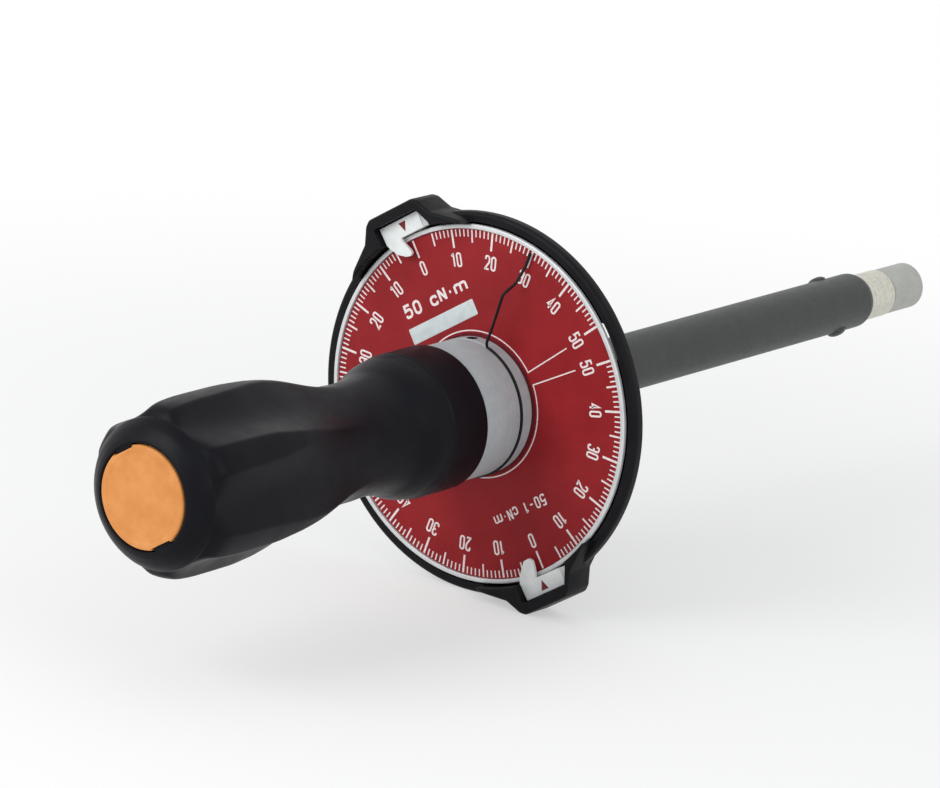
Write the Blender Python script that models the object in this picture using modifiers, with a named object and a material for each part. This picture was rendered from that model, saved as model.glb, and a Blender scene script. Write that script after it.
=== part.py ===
"""A dial torque screwdriver, at rest, in metres with +Z up.

The tool's own axis runs along Y: the grip points to -Y and the bit holder to +Y. The tool is turned about
its axis by REST_ROLL, which brings the index frame's ring and the corner of its lower ear to Z = 0 together.
Inside the tool frame, station 0 is the front edge of the dial's rim, X is to the right when the dial is
read, and Z points to the upper ear.
"""

import math

import bpy
import bmesh

MM = 0.001
CLEARANCE = 0.3 * MM

# The dial and its scale
DIAL_RADIUS = 37.5 * MM
RIM_WIDTH = 1.2 * MM
SCALE_DEPTH = 0.6 * MM
SCALE_THICKNESS = 0.35 * MM
DIAL_THICKNESS = 2.0 * MM
DIAL_STEPS = 64

# The spindle that the hand turns, and the nut on its rear end
SPINDLE_RADIUS = 6.0 * MM
SPINDLE_BORE = SPINDLE_RADIUS + CLEARANCE
NUT_WALL = 1.0 * MM
NUT_CORNER = (SPINDLE_BORE + NUT_WALL) / math.cos(math.pi / 6)
NUT_THICKNESS = 4.5 * MM
NUT_ROOM = 1.1 * MM

# The grip, from the end cap to the collar
GRIP_LENGTH = 89.5 * MM
GRIP_FRONT = -15.5 * MM
GRIP_REAR = GRIP_FRONT - GRIP_LENGTH
GRIP_RADIUS = 18.1 * MM
DOME_STEP = 1.6 * MM
WAIST_RADIUS = 11.7 * MM
BAND_RADIUS = 15.0 * MM
BAND_LENGTH = 10.5 * MM
WAIST_STATION = GRIP_FRONT - 0.30 * GRIP_LENGTH
SWELL_STATION = GRIP_FRONT - 0.75 * GRIP_LENGTH
DOME_STATION = GRIP_FRONT - 0.924 * GRIP_LENGTH
FLUTES = 8
FLUTE_RADIUS = 7.0 * MM
FLUTE_DEPTH = 1.5 * MM
FLUTE_REAR = DOME_STATION + 0.2 * MM
FLUTE_LENGTH = 0.58 * GRIP_LENGTH
FLUTE_SLOPE = math.radians(5.0)
GRIP_STEPS = 48
NUT_POCKET_RADIUS = NUT_CORNER + NUT_ROOM
NUT_POCKET_DEPTH = 15.0 * MM
NUT_POCKET_FRONT = GRIP_REAR + NUT_POCKET_DEPTH
CAP_LEDGE = 0.8 * MM
CAP_RADIUS = NUT_POCKET_RADIUS + CAP_LEDGE
CAP_REAR = GRIP_REAR - 0.3 * MM
CAP_THICKNESS = 2.6 * MM
CAP_NOTCH_WIDTH = 5.2 * MM
CAP_NOTCH_DEPTH = 0.7 * MM
SPINDLE_REAR = NUT_POCKET_FRONT - 7.0 * MM

# The collar, which the grip, the dial and the spindle share
COLLAR_RADIUS = 14.3 * MM
COLLAR_REAR = GRIP_FRONT + CLEARANCE
POINTER_STATION = -3.5 * MM
GROOVE_WIDTH = 1.0 * MM
GROOVE_DEPTH = 0.4 * MM
SET_SCREW_STATION = -1.6 * MM
SET_SCREW_RADIUS = 0.8 * MM
SET_SCREW_ANGLE = math.radians(24.0)
FASTENER_CIRCLE = (SPINDLE_RADIUS + COLLAR_RADIUS) / 2
DOWEL_RADIUS = 1.2 * MM
DOWEL_LENGTH = 11.5 * MM
DIAL_SCREWS = 3
DIAL_SCREW_RADIUS = 0.9 * MM
DIAL_SCREW_LENGTH = 7.0 * MM

# The torsion bar: a 1.5 mm steel bar, 115 mm long, gives 0.5 N.m over 84 degrees
BAR_RADIUS = 0.75 * MM
BAR_LENGTH = 115.0 * MM
BAR_HEAD_RADIUS = 1.6 * MM
BAR_HEAD_LENGTH = 6.0 * MM
BAR_REAR = 10.0 * MM
BAR_FRONT = BAR_REAR + 2 * BAR_HEAD_LENGTH + BAR_LENGTH
BAR_PIN_RADIUS = 0.6 * MM

# The journal of the spindle round the bar's rear head, and its bushes in the tube
JOURNAL_BORE = BAR_HEAD_RADIUS + CLEARANCE
JOURNAL_WALL = 1.7 * MM
JOURNAL_RADIUS = JOURNAL_BORE + JOURNAL_WALL
JOURNAL_FRONT = BAR_REAR + 20.0 * MM
BUSH_BORE = JOURNAL_RADIUS + CLEARANCE
BUSH_WALL = 0.9 * MM
BUSH_RADIUS = BUSH_BORE + BUSH_WALL
BUSH_SPLIT = BAR_REAR + 4.5 * MM
CLIP_HALF = 0.4 * MM
CLIP_GROOVE = 0.7 * MM

# The memory pointer of black wire
WIRE_RADIUS = 0.3 * MM
POINTER_REACH = DIAL_RADIUS - 1.5 * MM
POINTER_ANGLE = math.radians(50.4)
POINTER_RING_SWEEP = math.radians(305.0)

# The index frame: a dish round the dial, with an ear over each zero
RING_INNER_RADIUS = DIAL_RADIUS + 0.5 * MM
RING_WALL = 2.0 * MM
RING_RADIUS = RING_INNER_RADIUS + RING_WALL
RING_FRONT = 0.7 * MM
BACK_FRONT = DIAL_THICKNESS + 0.4 * MM
BACK_THICKNESS = 2.0 * MM
BACK_REAR = BACK_FRONT + BACK_THICKNESS
EAR_RISE = 3.8 * MM
EAR_HEIGHT = RING_RADIUS + EAR_RISE
EAR_FLAT = 12.4 * MM
EAR_SLOPE = 3.4 * MM
EAR_WIDTH = EAR_FLAT + 2 * EAR_SLOPE
EAR_SHOULDER = RING_RADIUS - 0.4 * MM
EAR_ROOT = EAR_WIDTH / 2 + 4.45 * MM
EAR_FRONT = -3.0 * MM
EAR_REAR = BACK_REAR + 0.6 * MM
WINDOW_HEIGHT = 9.0 * MM
WINDOW_INNER = 16.0 * MM
WINDOW_OUTER = RING_INNER_RADIUS - 1.6 * MM
FRAME_STEPS = 64

# The tube and the hub of the index frame on it
TUBE_WALL = 1.0 * MM
TUBE_BORE = BUSH_RADIUS + CLEARANCE
TUBE_RADIUS = TUBE_BORE + TUBE_WALL
TUBE_REAR = BACK_FRONT + 0.9 * MM
TUBE_END = BAR_FRONT + 1.5 * MM
HUB_WALL = 4.4 * MM
HUB_RADIUS = TUBE_RADIUS + HUB_WALL
HUB_LENGTH = 8.0 * MM
HUB_REAR = BACK_REAR + HUB_LENGTH
HUB_SCREW_STATION = BACK_REAR + HUB_LENGTH / 2
HUB_SCREW_RADIUS = 1.0 * MM

# The white index pieces: a block in each ear, with one finger over the scale
INDEX_WIDTH = 11.0 * MM
INDEX_INNER = DIAL_RADIUS + 0.4 * MM
INDEX_OUTER = INDEX_INNER + 3.3 * MM
INDEX_FACE = -1.3 * MM
INDEX_REAR = 1.2 * MM
FINGER_THICKNESS = 0.7 * MM
FINGER_REACH = DIAL_RADIUS - 4.2 * MM
FINGER_EDGE = 1.35 * MM

# The bit holder in the tube's end, with its socket, ball and sleeve
TUBE_SCREW_STATION = TUBE_END - 10.5 * MM
TUBE_SCREW_HEAD = 2.5 * MM
TUBE_SCREW_SHANK = 1.2 * MM
TUBE_SCREW_PROUD = 0.9 * MM
HEX_ACROSS_FLATS = 6.35 * MM
HEX_CORNER = HEX_ACROSS_FLATS / 2 / math.cos(math.pi / 6)
HEX_DEPTH = 16.0 * MM
STEM_RADIUS = HEX_CORNER + 0.63 * MM
SLEEVE_WALL = 0.5 * MM
SLEEVE_BORE = STEM_RADIUS + CLEARANCE
SLEEVE_RADIUS = SLEEVE_BORE + SLEEVE_WALL
NECK_RADIUS = SLEEVE_RADIUS + 0.15 * MM
NECK_LENGTH = 9.7 * MM
SLEEVE_LENGTH = 11.1 * MM
SLEEVE_REAR = TUBE_END + NECK_LENGTH
SLEEVE_FRONT = SLEEVE_REAR + SLEEVE_LENGTH
HOLDER_FRONT = SLEEVE_FRONT + CLEARANCE
HOLDER_TAIL = TUBE_END - 20.5 * MM
BALL_RADIUS = 0.65 * MM
BALL_CIRCLE = STEM_RADIUS - BALL_RADIUS
BALL_STATION = SLEEVE_FRONT - 5.8 * MM
SLEEVE_TRAVEL = 2.5 * MM
SLEEVE_RELIEF = 0.2 * MM


def rest_roll():
    """The turn about the axis at which the ring and the lower ear's corner touch the floor together."""
    reach = math.hypot(EAR_FLAT / 2, EAR_HEIGHT)
    return math.atan2(EAR_FLAT / 2, EAR_HEIGHT) + math.acos(RING_RADIUS / reach)


REST_ROLL = rest_roll()

parts = None
cutters = None


def clear_scene():
    for item in list(bpy.data.objects):
        bpy.data.objects.remove(item, do_unlink=True)


def make_collections():
    global parts, cutters
    parts = bpy.data.collections.new("dial_torque_screwdriver")
    cutters = bpy.data.collections.new("cutters")
    cutters.hide_render = True
    for group in (parts, cutters):
        bpy.context.scene.collection.children.link(group)


def add_empty(name, parent=None, location=(0, 0, 0), roll=0.0):
    empty = bpy.data.objects.new(name, None)
    empty.empty_display_size = 10 * MM
    empty.location = location
    empty.rotation_euler = (0, -roll, 0)
    empty.parent = parent
    parts.objects.link(empty)
    return empty


def material(name, colour, metallic, roughness):
    made = bpy.data.materials.new(name)
    made.use_nodes = True
    shader = made.node_tree.nodes["Principled BSDF"]
    shader.inputs["Base Color"].default_value = (*colour, 1)
    shader.inputs["Metallic"].default_value = metallic
    shader.inputs["Roughness"].default_value = roughness
    made.diffuse_color = (*colour, 1)
    return made


def place(mesh, name, parent, finish=None, location=(0, 0, 0), rotation=(0, 0, 0)):
    """A piece when it has a finish, and otherwise a helper for a Boolean."""
    item = bpy.data.objects.new(name, mesh)
    item.location = location
    item.rotation_euler = rotation
    item.parent = parent
    if finish:
        mesh.materials.append(material(name, *finish))
        parts.objects.link(item)
    else:
        item.hide_render = True
        item.display_type = "WIRE"
        cutters.objects.link(item)
    return item


def turned(name, profile, parent, steps, finish=None, smooth=True, **where):
    """A body turned about its own Y axis from (station, radius) points.

    The points run from +Y to -Y along the outer side. A profile that stays off the axis is closed.
    """
    closed = min(radius for _, radius in profile) > 0
    mesh = bpy.data.meshes.new(name)
    count = len(profile)
    edges = [(i, i + 1) for i in range(count - 1)] + ([(count - 1, 0)] if closed else [])
    mesh.from_pydata([(radius, station, 0) for station, radius in profile], edges, [])
    item = place(mesh, name, parent, finish, **where)
    screw = item.modifiers.new("turn", "SCREW")
    screw.axis = "Y"
    screw.steps = screw.render_steps = steps
    screw.use_merge_vertices = True
    screw.merge_threshold = 0.00001
    screw.use_smooth_shade = smooth
    return item


def slab(name, outline, station, thickness, parent, finish=None, **where):
    """A flat piece: an (x, z) outline extruded along Y from its station."""
    mesh = bpy.data.meshes.new(name)
    shape = bmesh.new()
    face = shape.faces.new([shape.verts.new((x, station, z)) for x, z in outline])
    sides = bmesh.ops.extrude_face_region(shape, geom=[face])["geom"]
    moved = [v for v in sides if isinstance(v, bmesh.types.BMVert)]
    bmesh.ops.translate(shape, verts=moved, vec=(0, thickness, 0))
    bmesh.ops.recalc_face_normals(shape, faces=shape.faces)
    shape.to_mesh(mesh)
    shape.free()
    return place(mesh, name, parent, finish, **where)


def rounded_box(x0, x1, z0, z1, radius, steps=4):
    corners = [(x1, z1, 0), (x0, z1, 90), (x0, z0, 180), (x1, z0, 270)]
    outline = []
    for x, z, start in corners:
        centre = (x + (radius if x == x0 else -radius), z + (radius if z == z0 else -radius))
        for i in range(steps + 1):
            angle = math.radians(start + 90 * i / steps)
            outline.append((centre[0] + radius * math.cos(angle), centre[1] + radius * math.sin(angle)))
    return outline


def polygon(sides, radius, phase=0.0):
    turns = [phase + 2 * math.pi * i / sides for i in range(sides)]
    return [(radius * math.sin(a), radius * math.cos(a)) for a in turns]


def boolean(target, other, operation):
    step = target.modifiers.new(operation.lower(), "BOOLEAN")
    step.operation = operation
    step.solver = "EXACT"
    step.object = other


def radial(angle, distance, station):
    """Where a radial screw or hole sits, and the turn that points its own Y axis outward."""
    spot = (distance * math.sin(angle), station, distance * math.cos(angle))
    return {"location": spot, "rotation": (math.pi / 2, angle, 0)}


def radial_rod(name, angle, inner, outer, radius, station, parent, finish=None, steps=16):
    """A round rod from one radius to another. Its own +Y end is the outer one."""
    length = outer - inner
    profile = [(length, 0), (length, radius), (0, radius), (0, 0)]
    return turned(name, profile, parent, steps, finish, **radial(angle, inner, station))


def eased(start, end, shares):
    """Profile points between two (station, radius) ends, from (share of the way, share of the step) pairs."""
    return [
        (start[0] + along * (end[0] - start[0]), start[1] + step * (end[1] - start[1]))
        for along, step in shares
    ]


def grip_outer():
    """The grip's outer profile: the band, the waist, the swell and the domed rear."""
    band = (GRIP_FRONT - BAND_LENGTH, BAND_RADIUS)
    waist = (WAIST_STATION, WAIST_RADIUS)
    swell = (SWELL_STATION, GRIP_RADIUS)
    dome = (DOME_STATION, GRIP_RADIUS - DOME_STEP)
    lip = (GRIP_REAR, CAP_RADIUS + MM)
    points = [(GRIP_FRONT, BAND_RADIUS - 0.3 * MM), (GRIP_FRONT - 0.3 * MM, BAND_RADIUS)]
    points += eased(
        band, waist, [(0, 0), (0.1, 0.03), (0.21, 0.15), (0.37, 0.42), (0.55, 0.76), (0.76, 0.93), (1, 1)]
    )
    points += eased(
        waist, swell,
        [(0.11, 0.03), (0.24, 0.16), (0.38, 0.41), (0.53, 0.67), (0.68, 0.905), (0.81, 0.985), (1, 1)],
    )
    points += eased(swell, dome, [(0.52, 0.06), (0.86, 0.19), (0.94, 0.5), (1, 1)])
    return points + eased(dome, lip, [(0.15, 0.06), (0.4, 0.21), (0.67, 0.46), (0.88, 0.74), (1, 1)])


def grip(frame):
    """The moulded grip: a domed rear, eight flutes that run out at the waist, and a flared front."""
    pocket = CAP_RADIUS + CLEARANCE
    floor = GRIP_REAR + CAP_THICKNESS + CLEARANCE
    inner = [
        (GRIP_REAR, pocket),
        (floor, pocket),
        (floor, NUT_POCKET_RADIUS),
        (NUT_POCKET_FRONT, NUT_POCKET_RADIUS),
        (NUT_POCKET_FRONT, SPINDLE_BORE),
        (GRIP_FRONT, SPINDLE_BORE),
    ]
    body = turned("grip", grip_outer() + inner, frame, GRIP_STEPS, ((0.012, 0.013, 0.015), 0, 0.42))
    length = FLUTE_LENGTH
    flute = [(length, 0)]
    for turn in (30, 60, 90):
        angle = math.radians(turn)
        flute.append((length - FLUTE_RADIUS * (1 - math.cos(angle)), FLUTE_RADIUS * math.sin(angle)))
    for turn in (90, 60, 30):
        angle = math.radians(turn)
        flute.append((0.5 * FLUTE_RADIUS * (1 - math.cos(angle)), FLUTE_RADIUS * math.sin(angle)))
    flute.append((0, 0))
    distance = GRIP_RADIUS - FLUTE_DEPTH + FLUTE_RADIUS
    for i in range(FLUTES):
        angle = 2 * math.pi * i / FLUTES
        arm = add_empty(f"flute_turn_{i + 1}", frame, roll=-angle)
        cutter = turned(f"flute_cut_{i + 1}", flute, arm, 16)
        cutter.location = (0, FLUTE_REAR, distance)
        cutter.rotation_euler = (-FLUTE_SLOPE, 0, 0)
        boolean(body, cutter, "DIFFERENCE")
    dowel_hole = axial_hole("grip_dowel_cut", dowel_spot(), frame)
    boolean(body, dowel_hole, "DIFFERENCE")
    for side, name in ((1, "upper"), (-1, "lower")):
        tab = slab(
            f"grip_tab_{name}", tab_outline(side), GRIP_REAR + 0.2 * MM, CAP_THICKNESS + CLEARANCE, frame
        )
        boolean(body, tab, "UNION")
    return body


def tab_outline(side):
    """A tab of the grip that fills one of the cap's two notches."""
    half = CAP_NOTCH_WIDTH / 2 - CLEARANCE
    low = CAP_RADIUS - CAP_NOTCH_DEPTH + CLEARANCE
    high = CAP_RADIUS + CLEARANCE + 0.4 * MM
    return [(-half, side * low), (half, side * low), (half, side * high), (-half, side * high)]


def cap(frame):
    """The end cap: a disc with two notches, and a hollow plug that holds it in the grip."""
    plug = NUT_POCKET_RADIUS - CLEARANCE
    rear, face = CAP_REAR, GRIP_REAR + CAP_THICKNESS
    plug_end = face + 3.6 * MM
    edge = 0.4 * MM
    profile = [
        (face + 0.4 * MM, 0),
        (face + 0.4 * MM, plug - 1.6 * MM),
        (plug_end, plug - 1.6 * MM),
        (plug_end, plug),
        (face, plug),
        (face, CAP_RADIUS),
        (rear + edge, CAP_RADIUS),
        (rear, CAP_RADIUS - edge),
        (rear, 0),
    ]
    body = turned("grip_cap", profile, frame, 40, ((0.85, 0.33, 0.05), 0, 0.45))
    for side, name in ((1, "upper"), (-1, "lower")):
        low = CAP_RADIUS - CAP_NOTCH_DEPTH
        half = CAP_NOTCH_WIDTH / 2
        outline = [
            (-half, side * low), (half, side * low), (half, side * 2 * low), (-half, side * 2 * low)
        ]
        notch = slab(f"cap_notch_{name}", outline, rear - 1 * MM, CAP_THICKNESS + 2 * MM, frame)
        boolean(body, notch, "DIFFERENCE")
    return body


def dowel_spot():
    """The dowel lies half in the grip and half in the collar."""
    half = DOWEL_LENGTH / 2
    rear, front = GRIP_FRONT - half, GRIP_FRONT + half
    return {"x": -FASTENER_CIRCLE, "z": 0.0, "rear": rear, "front": front, "radius": DOWEL_RADIUS}


def axial_hole(name, spot, frame):
    """A round cutter along the axis, one clearance larger than the rod that goes in it."""
    wide = spot["radius"] + CLEARANCE
    rear, front = spot["rear"] - CLEARANCE, spot["front"] + CLEARANCE
    profile = [(front, 0), (front, wide), (rear, wide), (rear, 0)]
    return turned(name, profile, frame, 16, location=(spot["x"], 0, spot["z"]))


def fasten_grip(frame):
    """What holds the grip on the spindle: a washer, a nut under the cap, and a dowel into the collar."""
    steel = ((0.5, 0.5, 0.52), 1, 0.35)
    front = NUT_POCKET_FRONT - CLEARANCE
    rear = front - 1.2 * MM
    wide = NUT_POCKET_RADIUS - CLEARANCE
    ring = [(front, wide), (rear, wide), (rear, SPINDLE_BORE), (front, SPINDLE_BORE)]
    turned("grip_washer", ring, frame, 24, steel)
    nut_front = rear - CLEARANCE
    nut_rear = nut_front - NUT_THICKNESS
    nut = slab(
        "grip_nut", polygon(6, NUT_CORNER), nut_rear, NUT_THICKNESS, frame, ((0.45, 0.45, 0.47), 1, 0.4)
    )
    bore = [
        (nut_front + MM, 0), (nut_front + MM, SPINDLE_BORE),
        (nut_rear - MM, SPINDLE_BORE), (nut_rear - MM, 0),
    ]
    boolean(nut, turned("nut_bore", bore, frame, 24), "DIFFERENCE")
    spot = dowel_spot()
    rod = [(spot["front"], 0), (spot["front"], spot["radius"]), (spot["rear"], spot["radius"]), (spot["rear"], 0)]
    turned("drive_dowel", rod, frame, 16, steel, location=(spot["x"], 0, spot["z"]))


def spindle(frame):
    """The steel spindle: a shank through grip, collar and dial, and a bored journal inside the tube."""
    groove = JOURNAL_RADIUS - 0.4 * JOURNAL_WALL
    profile = [
        (BAR_REAR - CLEARANCE, 0),
        (BAR_REAR - CLEARANCE, JOURNAL_BORE),
        (JOURNAL_FRONT, JOURNAL_BORE),
        (JOURNAL_FRONT, JOURNAL_RADIUS),
        (clip_station() + CLIP_GROOVE, JOURNAL_RADIUS),
        (clip_station() + CLIP_GROOVE, groove),
        (clip_station() - CLIP_GROOVE, groove),
        (clip_station() - CLIP_GROOVE, JOURNAL_RADIUS),
        (DIAL_THICKNESS, JOURNAL_RADIUS),
        (DIAL_THICKNESS, SPINDLE_RADIUS),
        (SPINDLE_REAR + 0.6 * MM, SPINDLE_RADIUS),
        (SPINDLE_REAR, SPINDLE_RADIUS - 0.6 * MM),
        (SPINDLE_REAR, 0),
    ]
    body = turned("spindle", profile, frame, 24, ((0.55, 0.55, 0.57), 1, 0.3))
    boolean(body, cross_hole("spindle_pin_cut", frame), "DIFFERENCE")
    return body


def clip_station():
    return JOURNAL_FRONT - 3.5 * MM


def pin_station():
    return BAR_REAR + BAR_HEAD_LENGTH / 2


def cross_hole(name, frame):
    reach, wide = JOURNAL_RADIUS + MM, BAR_PIN_RADIUS + CLEARANCE
    profile = [(reach, 0), (reach, wide), (-reach, wide), (-reach, 0)]
    return turned(name, profile, frame, 12, location=(0, pin_station(), 0), rotation=(0, 0, math.pi / 2))


def collar(frame):
    """The silver collar between grip and dial, with a shallow groove for the pointer's wire ring."""
    front = SCALE_DEPTH - CLEARANCE
    edge = 0.3 * MM
    half = GROOVE_WIDTH / 2
    profile = [
        (front, COLLAR_RADIUS),
        (POINTER_STATION + half, COLLAR_RADIUS),
        (POINTER_STATION + half, COLLAR_RADIUS - GROOVE_DEPTH),
        (POINTER_STATION - half, COLLAR_RADIUS - GROOVE_DEPTH),
        (POINTER_STATION - half, COLLAR_RADIUS),
        (COLLAR_REAR + edge, COLLAR_RADIUS),
        (COLLAR_REAR, COLLAR_RADIUS - edge),
        (COLLAR_REAR, SPINDLE_BORE),
        (front, SPINDLE_BORE),
    ]
    body = turned("collar", profile, frame, GRIP_STEPS, ((0.6, 0.6, 0.61), 1, 0.38))
    hole = radial_rod(
        "collar_screw_cut", SET_SCREW_ANGLE, SPINDLE_RADIUS, COLLAR_RADIUS + MM,
        SET_SCREW_RADIUS + CLEARANCE, SET_SCREW_STATION, frame,
    )
    boolean(body, hole, "DIFFERENCE")
    boolean(body, axial_hole("collar_dowel_cut", dowel_spot(), frame), "DIFFERENCE")
    for i in range(DIAL_SCREWS):
        boolean(body, axial_hole(f"collar_dial_cut_{i + 1}", dial_screw_spot(i), frame), "DIFFERENCE")
    screw = radial_rod(
        "collar_set_screw", SET_SCREW_ANGLE, SPINDLE_RADIUS + CLEARANCE, COLLAR_RADIUS - 0.3 * MM,
        SET_SCREW_RADIUS, SET_SCREW_STATION, frame, ((0.02, 0.02, 0.02), 1, 0.4),
    )
    key = slab("set_screw_key", polygon(6, 0.56 * SET_SCREW_RADIUS), 0, 0.8 * MM, screw)
    key.location = (0, COLLAR_RADIUS - SPINDLE_RADIUS - 1.2 * MM, 0)
    boolean(screw, key, "DIFFERENCE")
    return body


def dial_screw_spot(i):
    angle = 2 * math.pi * i / DIAL_SCREWS + math.radians(60)
    return {
        "x": FASTENER_CIRCLE * math.sin(angle),
        "z": FASTENER_CIRCLE * math.cos(angle),
        "rear": DIAL_THICKNESS - DIAL_SCREW_LENGTH,
        "front": DIAL_THICKNESS,
        "radius": DIAL_SCREW_RADIUS,
    }


def dial(frame):
    """The dial: a plate with a raised rim, the printed scale sheet in it, and the screws from behind."""
    recess = SCALE_DEPTH + SCALE_THICKNESS + 0.2 * MM
    inner = DIAL_RADIUS - RIM_WIDTH
    edge = 0.3 * MM
    bore = SPINDLE_BORE
    profile = [
        (DIAL_THICKNESS, bore),
        (DIAL_THICKNESS, DIAL_RADIUS - edge),
        (DIAL_THICKNESS - edge, DIAL_RADIUS),
        (edge, DIAL_RADIUS),
        (0, DIAL_RADIUS - edge),
        (0, inner + 0.15 * MM),
        (0.15 * MM, inner),
        (recess, inner),
        (recess, bore),
    ]
    plate = turned("dial_plate", profile, frame, DIAL_STEPS, ((0.72, 0.72, 0.72), 1, 0.35))
    sheet_rear, sheet_outer = SCALE_DEPTH + SCALE_THICKNESS, inner - 0.2 * MM
    ring = [(sheet_rear, bore), (sheet_rear, sheet_outer), (SCALE_DEPTH, sheet_outer), (SCALE_DEPTH, bore)]
    sheet = turned("scale_face", ring, frame, DIAL_STEPS, ((0.30, 0.02, 0.025), 0, 0.4))
    head = DIAL_SCREW_RADIUS + 0.8 * MM
    for i in range(DIAL_SCREWS):
        spot = dial_screw_spot(i)
        at = (spot["x"], 0, spot["z"])
        wide = spot["radius"] + CLEARANCE
        sink = [
            (DIAL_THICKNESS + MM, 0), (DIAL_THICKNESS + MM, head + CLEARANCE),
            (DIAL_THICKNESS - 0.15 * MM, head + CLEARANCE), (DIAL_THICKNESS - 0.65 * MM, wide),
            (-MM, wide), (-MM, 0),
        ]
        boolean(plate, turned(f"dial_cut_{i + 1}", sink, frame, 16, location=at), "DIFFERENCE")
        boolean(sheet, axial_hole(f"scale_cut_{i + 1}", spot, frame), "DIFFERENCE")
        screw = [
            (DIAL_THICKNESS, 0), (DIAL_THICKNESS, head), (DIAL_THICKNESS - 0.1 * MM, head),
            (DIAL_THICKNESS - 0.75 * MM, spot["radius"]), (spot["rear"], spot["radius"]), (spot["rear"], 0),
        ]
        turned(f"dial_screw_{i + 1}", screw, frame, 16, ((0.5, 0.5, 0.52), 1, 0.35), location=at)


def torsion_bar(frame):
    """The measuring spring: a thin bar with a head pinned in the spindle and one held by the bit holder."""
    head, taper = BAR_HEAD_RADIUS, 0.8 * MM
    profile = [
        (BAR_FRONT, 0),
        (BAR_FRONT, head),
        (BAR_FRONT - BAR_HEAD_LENGTH, head),
        (BAR_FRONT - BAR_HEAD_LENGTH - taper, BAR_RADIUS),
        (BAR_REAR + BAR_HEAD_LENGTH + taper, BAR_RADIUS),
        (BAR_REAR + BAR_HEAD_LENGTH, head),
        (BAR_REAR, head),
        (BAR_REAR, 0),
    ]
    body = turned("torsion_bar", profile, frame, 16, ((0.35, 0.36, 0.4), 1, 0.3))
    boolean(body, cross_hole("bar_pin_cut", frame), "DIFFERENCE")
    reach = JOURNAL_RADIUS - 0.3 * MM
    rod = [(reach, 0), (reach, BAR_PIN_RADIUS), (-reach, BAR_PIN_RADIUS), (-reach, 0)]
    turned(
        "bar_pin", rod, frame, 12, ((0.5, 0.5, 0.52), 1, 0.35),
        location=(0, pin_station(), 0), rotation=(0, 0, math.pi / 2),
    )


def journal_clip(frame):
    """The spring clip that keeps the journal from pulling out of its bushes."""
    inner, outer = JOURNAL_RADIUS - 0.4 * MM, BUSH_RADIUS - 0.1 * MM
    at, half = clip_station(), CLIP_HALF
    ring = [(at + half, outer), (at - half, outer), (at - half, inner), (at + half, inner)]
    clip = turned("journal_clip", ring, frame, 24, ((0.2, 0.2, 0.22), 1, 0.4))
    gap = slab(
        "clip_gap", [(-1.6 * MM, 0), (1.6 * MM, 0), (1.6 * MM, -8 * MM), (-1.6 * MM, -8 * MM)],
        at - MM, 2 * MM, frame,
    )
    boolean(clip, gap, "DIFFERENCE")


def memory_pointer(frame):
    """The wire pointer: an open ring in the collar's groove, an arm, and a tip that dips to the scale."""
    ring = COLLAR_RADIUS - GROOVE_DEPTH + 0.2 * MM + WIRE_RADIUS
    tip = SCALE_DEPTH - CLEARANCE - WIRE_RADIUS
    high = POINTER_STATION - 1.2 * MM
    steps = 48
    points = []
    for i in range(steps + 1):
        angle = POINTER_ANGLE + POINTER_RING_SWEEP * (1 - i / steps)
        points.append((ring, angle, POINTER_STATION))
    arm = [
        (ring + 0.25 * MM, -0.010, POINTER_STATION - 0.05 * MM),
        (ring + 0.7 * MM, -0.018, POINTER_STATION - 0.2 * MM),
        (ring + 1.6 * MM, -0.012, POINTER_STATION - 0.5 * MM),
        (ring + 5 * MM, 0.0, POINTER_STATION - 0.8 * MM),
        (POINTER_REACH - 9.0 * MM, 0.0, high),
        (POINTER_REACH - 7.8 * MM, 0.0, high + 0.1 * MM),
        (POINTER_REACH - 6.8 * MM, 0.0, high + 0.8 * MM),
        (POINTER_REACH - 4.6 * MM, 0.0, tip - 0.7 * MM),
        (POINTER_REACH - 3.6 * MM, 0.0, tip - 0.1 * MM),
        (POINTER_REACH - 2.8 * MM, 0.0, tip),
        (POINTER_REACH, 0.0, tip),
    ]
    points += [(distance, POINTER_ANGLE + turn, station) for distance, turn, station in arm]
    curve = bpy.data.curves.new("memory_pointer", "CURVE")
    curve.dimensions = "3D"
    curve.bevel_depth = WIRE_RADIUS
    curve.bevel_resolution = 1
    curve.use_fill_caps = True
    spline = curve.splines.new("POLY")
    spline.points.add(len(points) - 1)
    for point, (distance, angle, station) in zip(spline.points, points):
        point.co = (distance * math.sin(angle), station, distance * math.cos(angle), 1)
    place(curve, "memory_pointer", frame, ((0.01, 0.01, 0.01), 0.6, 0.4))


def ear_outline(side):
    """The ear over one zero: a flat top, two cut corners, and sloping cheeks that run into the ring."""
    flat, wide = EAR_FLAT / 2, EAR_WIDTH / 2
    ring = RING_RADIUS - 0.2 * MM
    half = [
        (flat, EAR_HEIGHT),
        (flat + 0.38 * EAR_SLOPE, EAR_HEIGHT - 0.24 * EAR_RISE),
        (wide, EAR_SHOULDER),
        (EAR_ROOT, math.sqrt(ring**2 - EAR_ROOT**2)),
        (wide + 1.4 * MM, RING_RADIUS - 6.0 * MM),
    ]
    outline = half + [(-x, z) for x, z in reversed(half)]
    return [(x, side * z) for x, z in outline]


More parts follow.
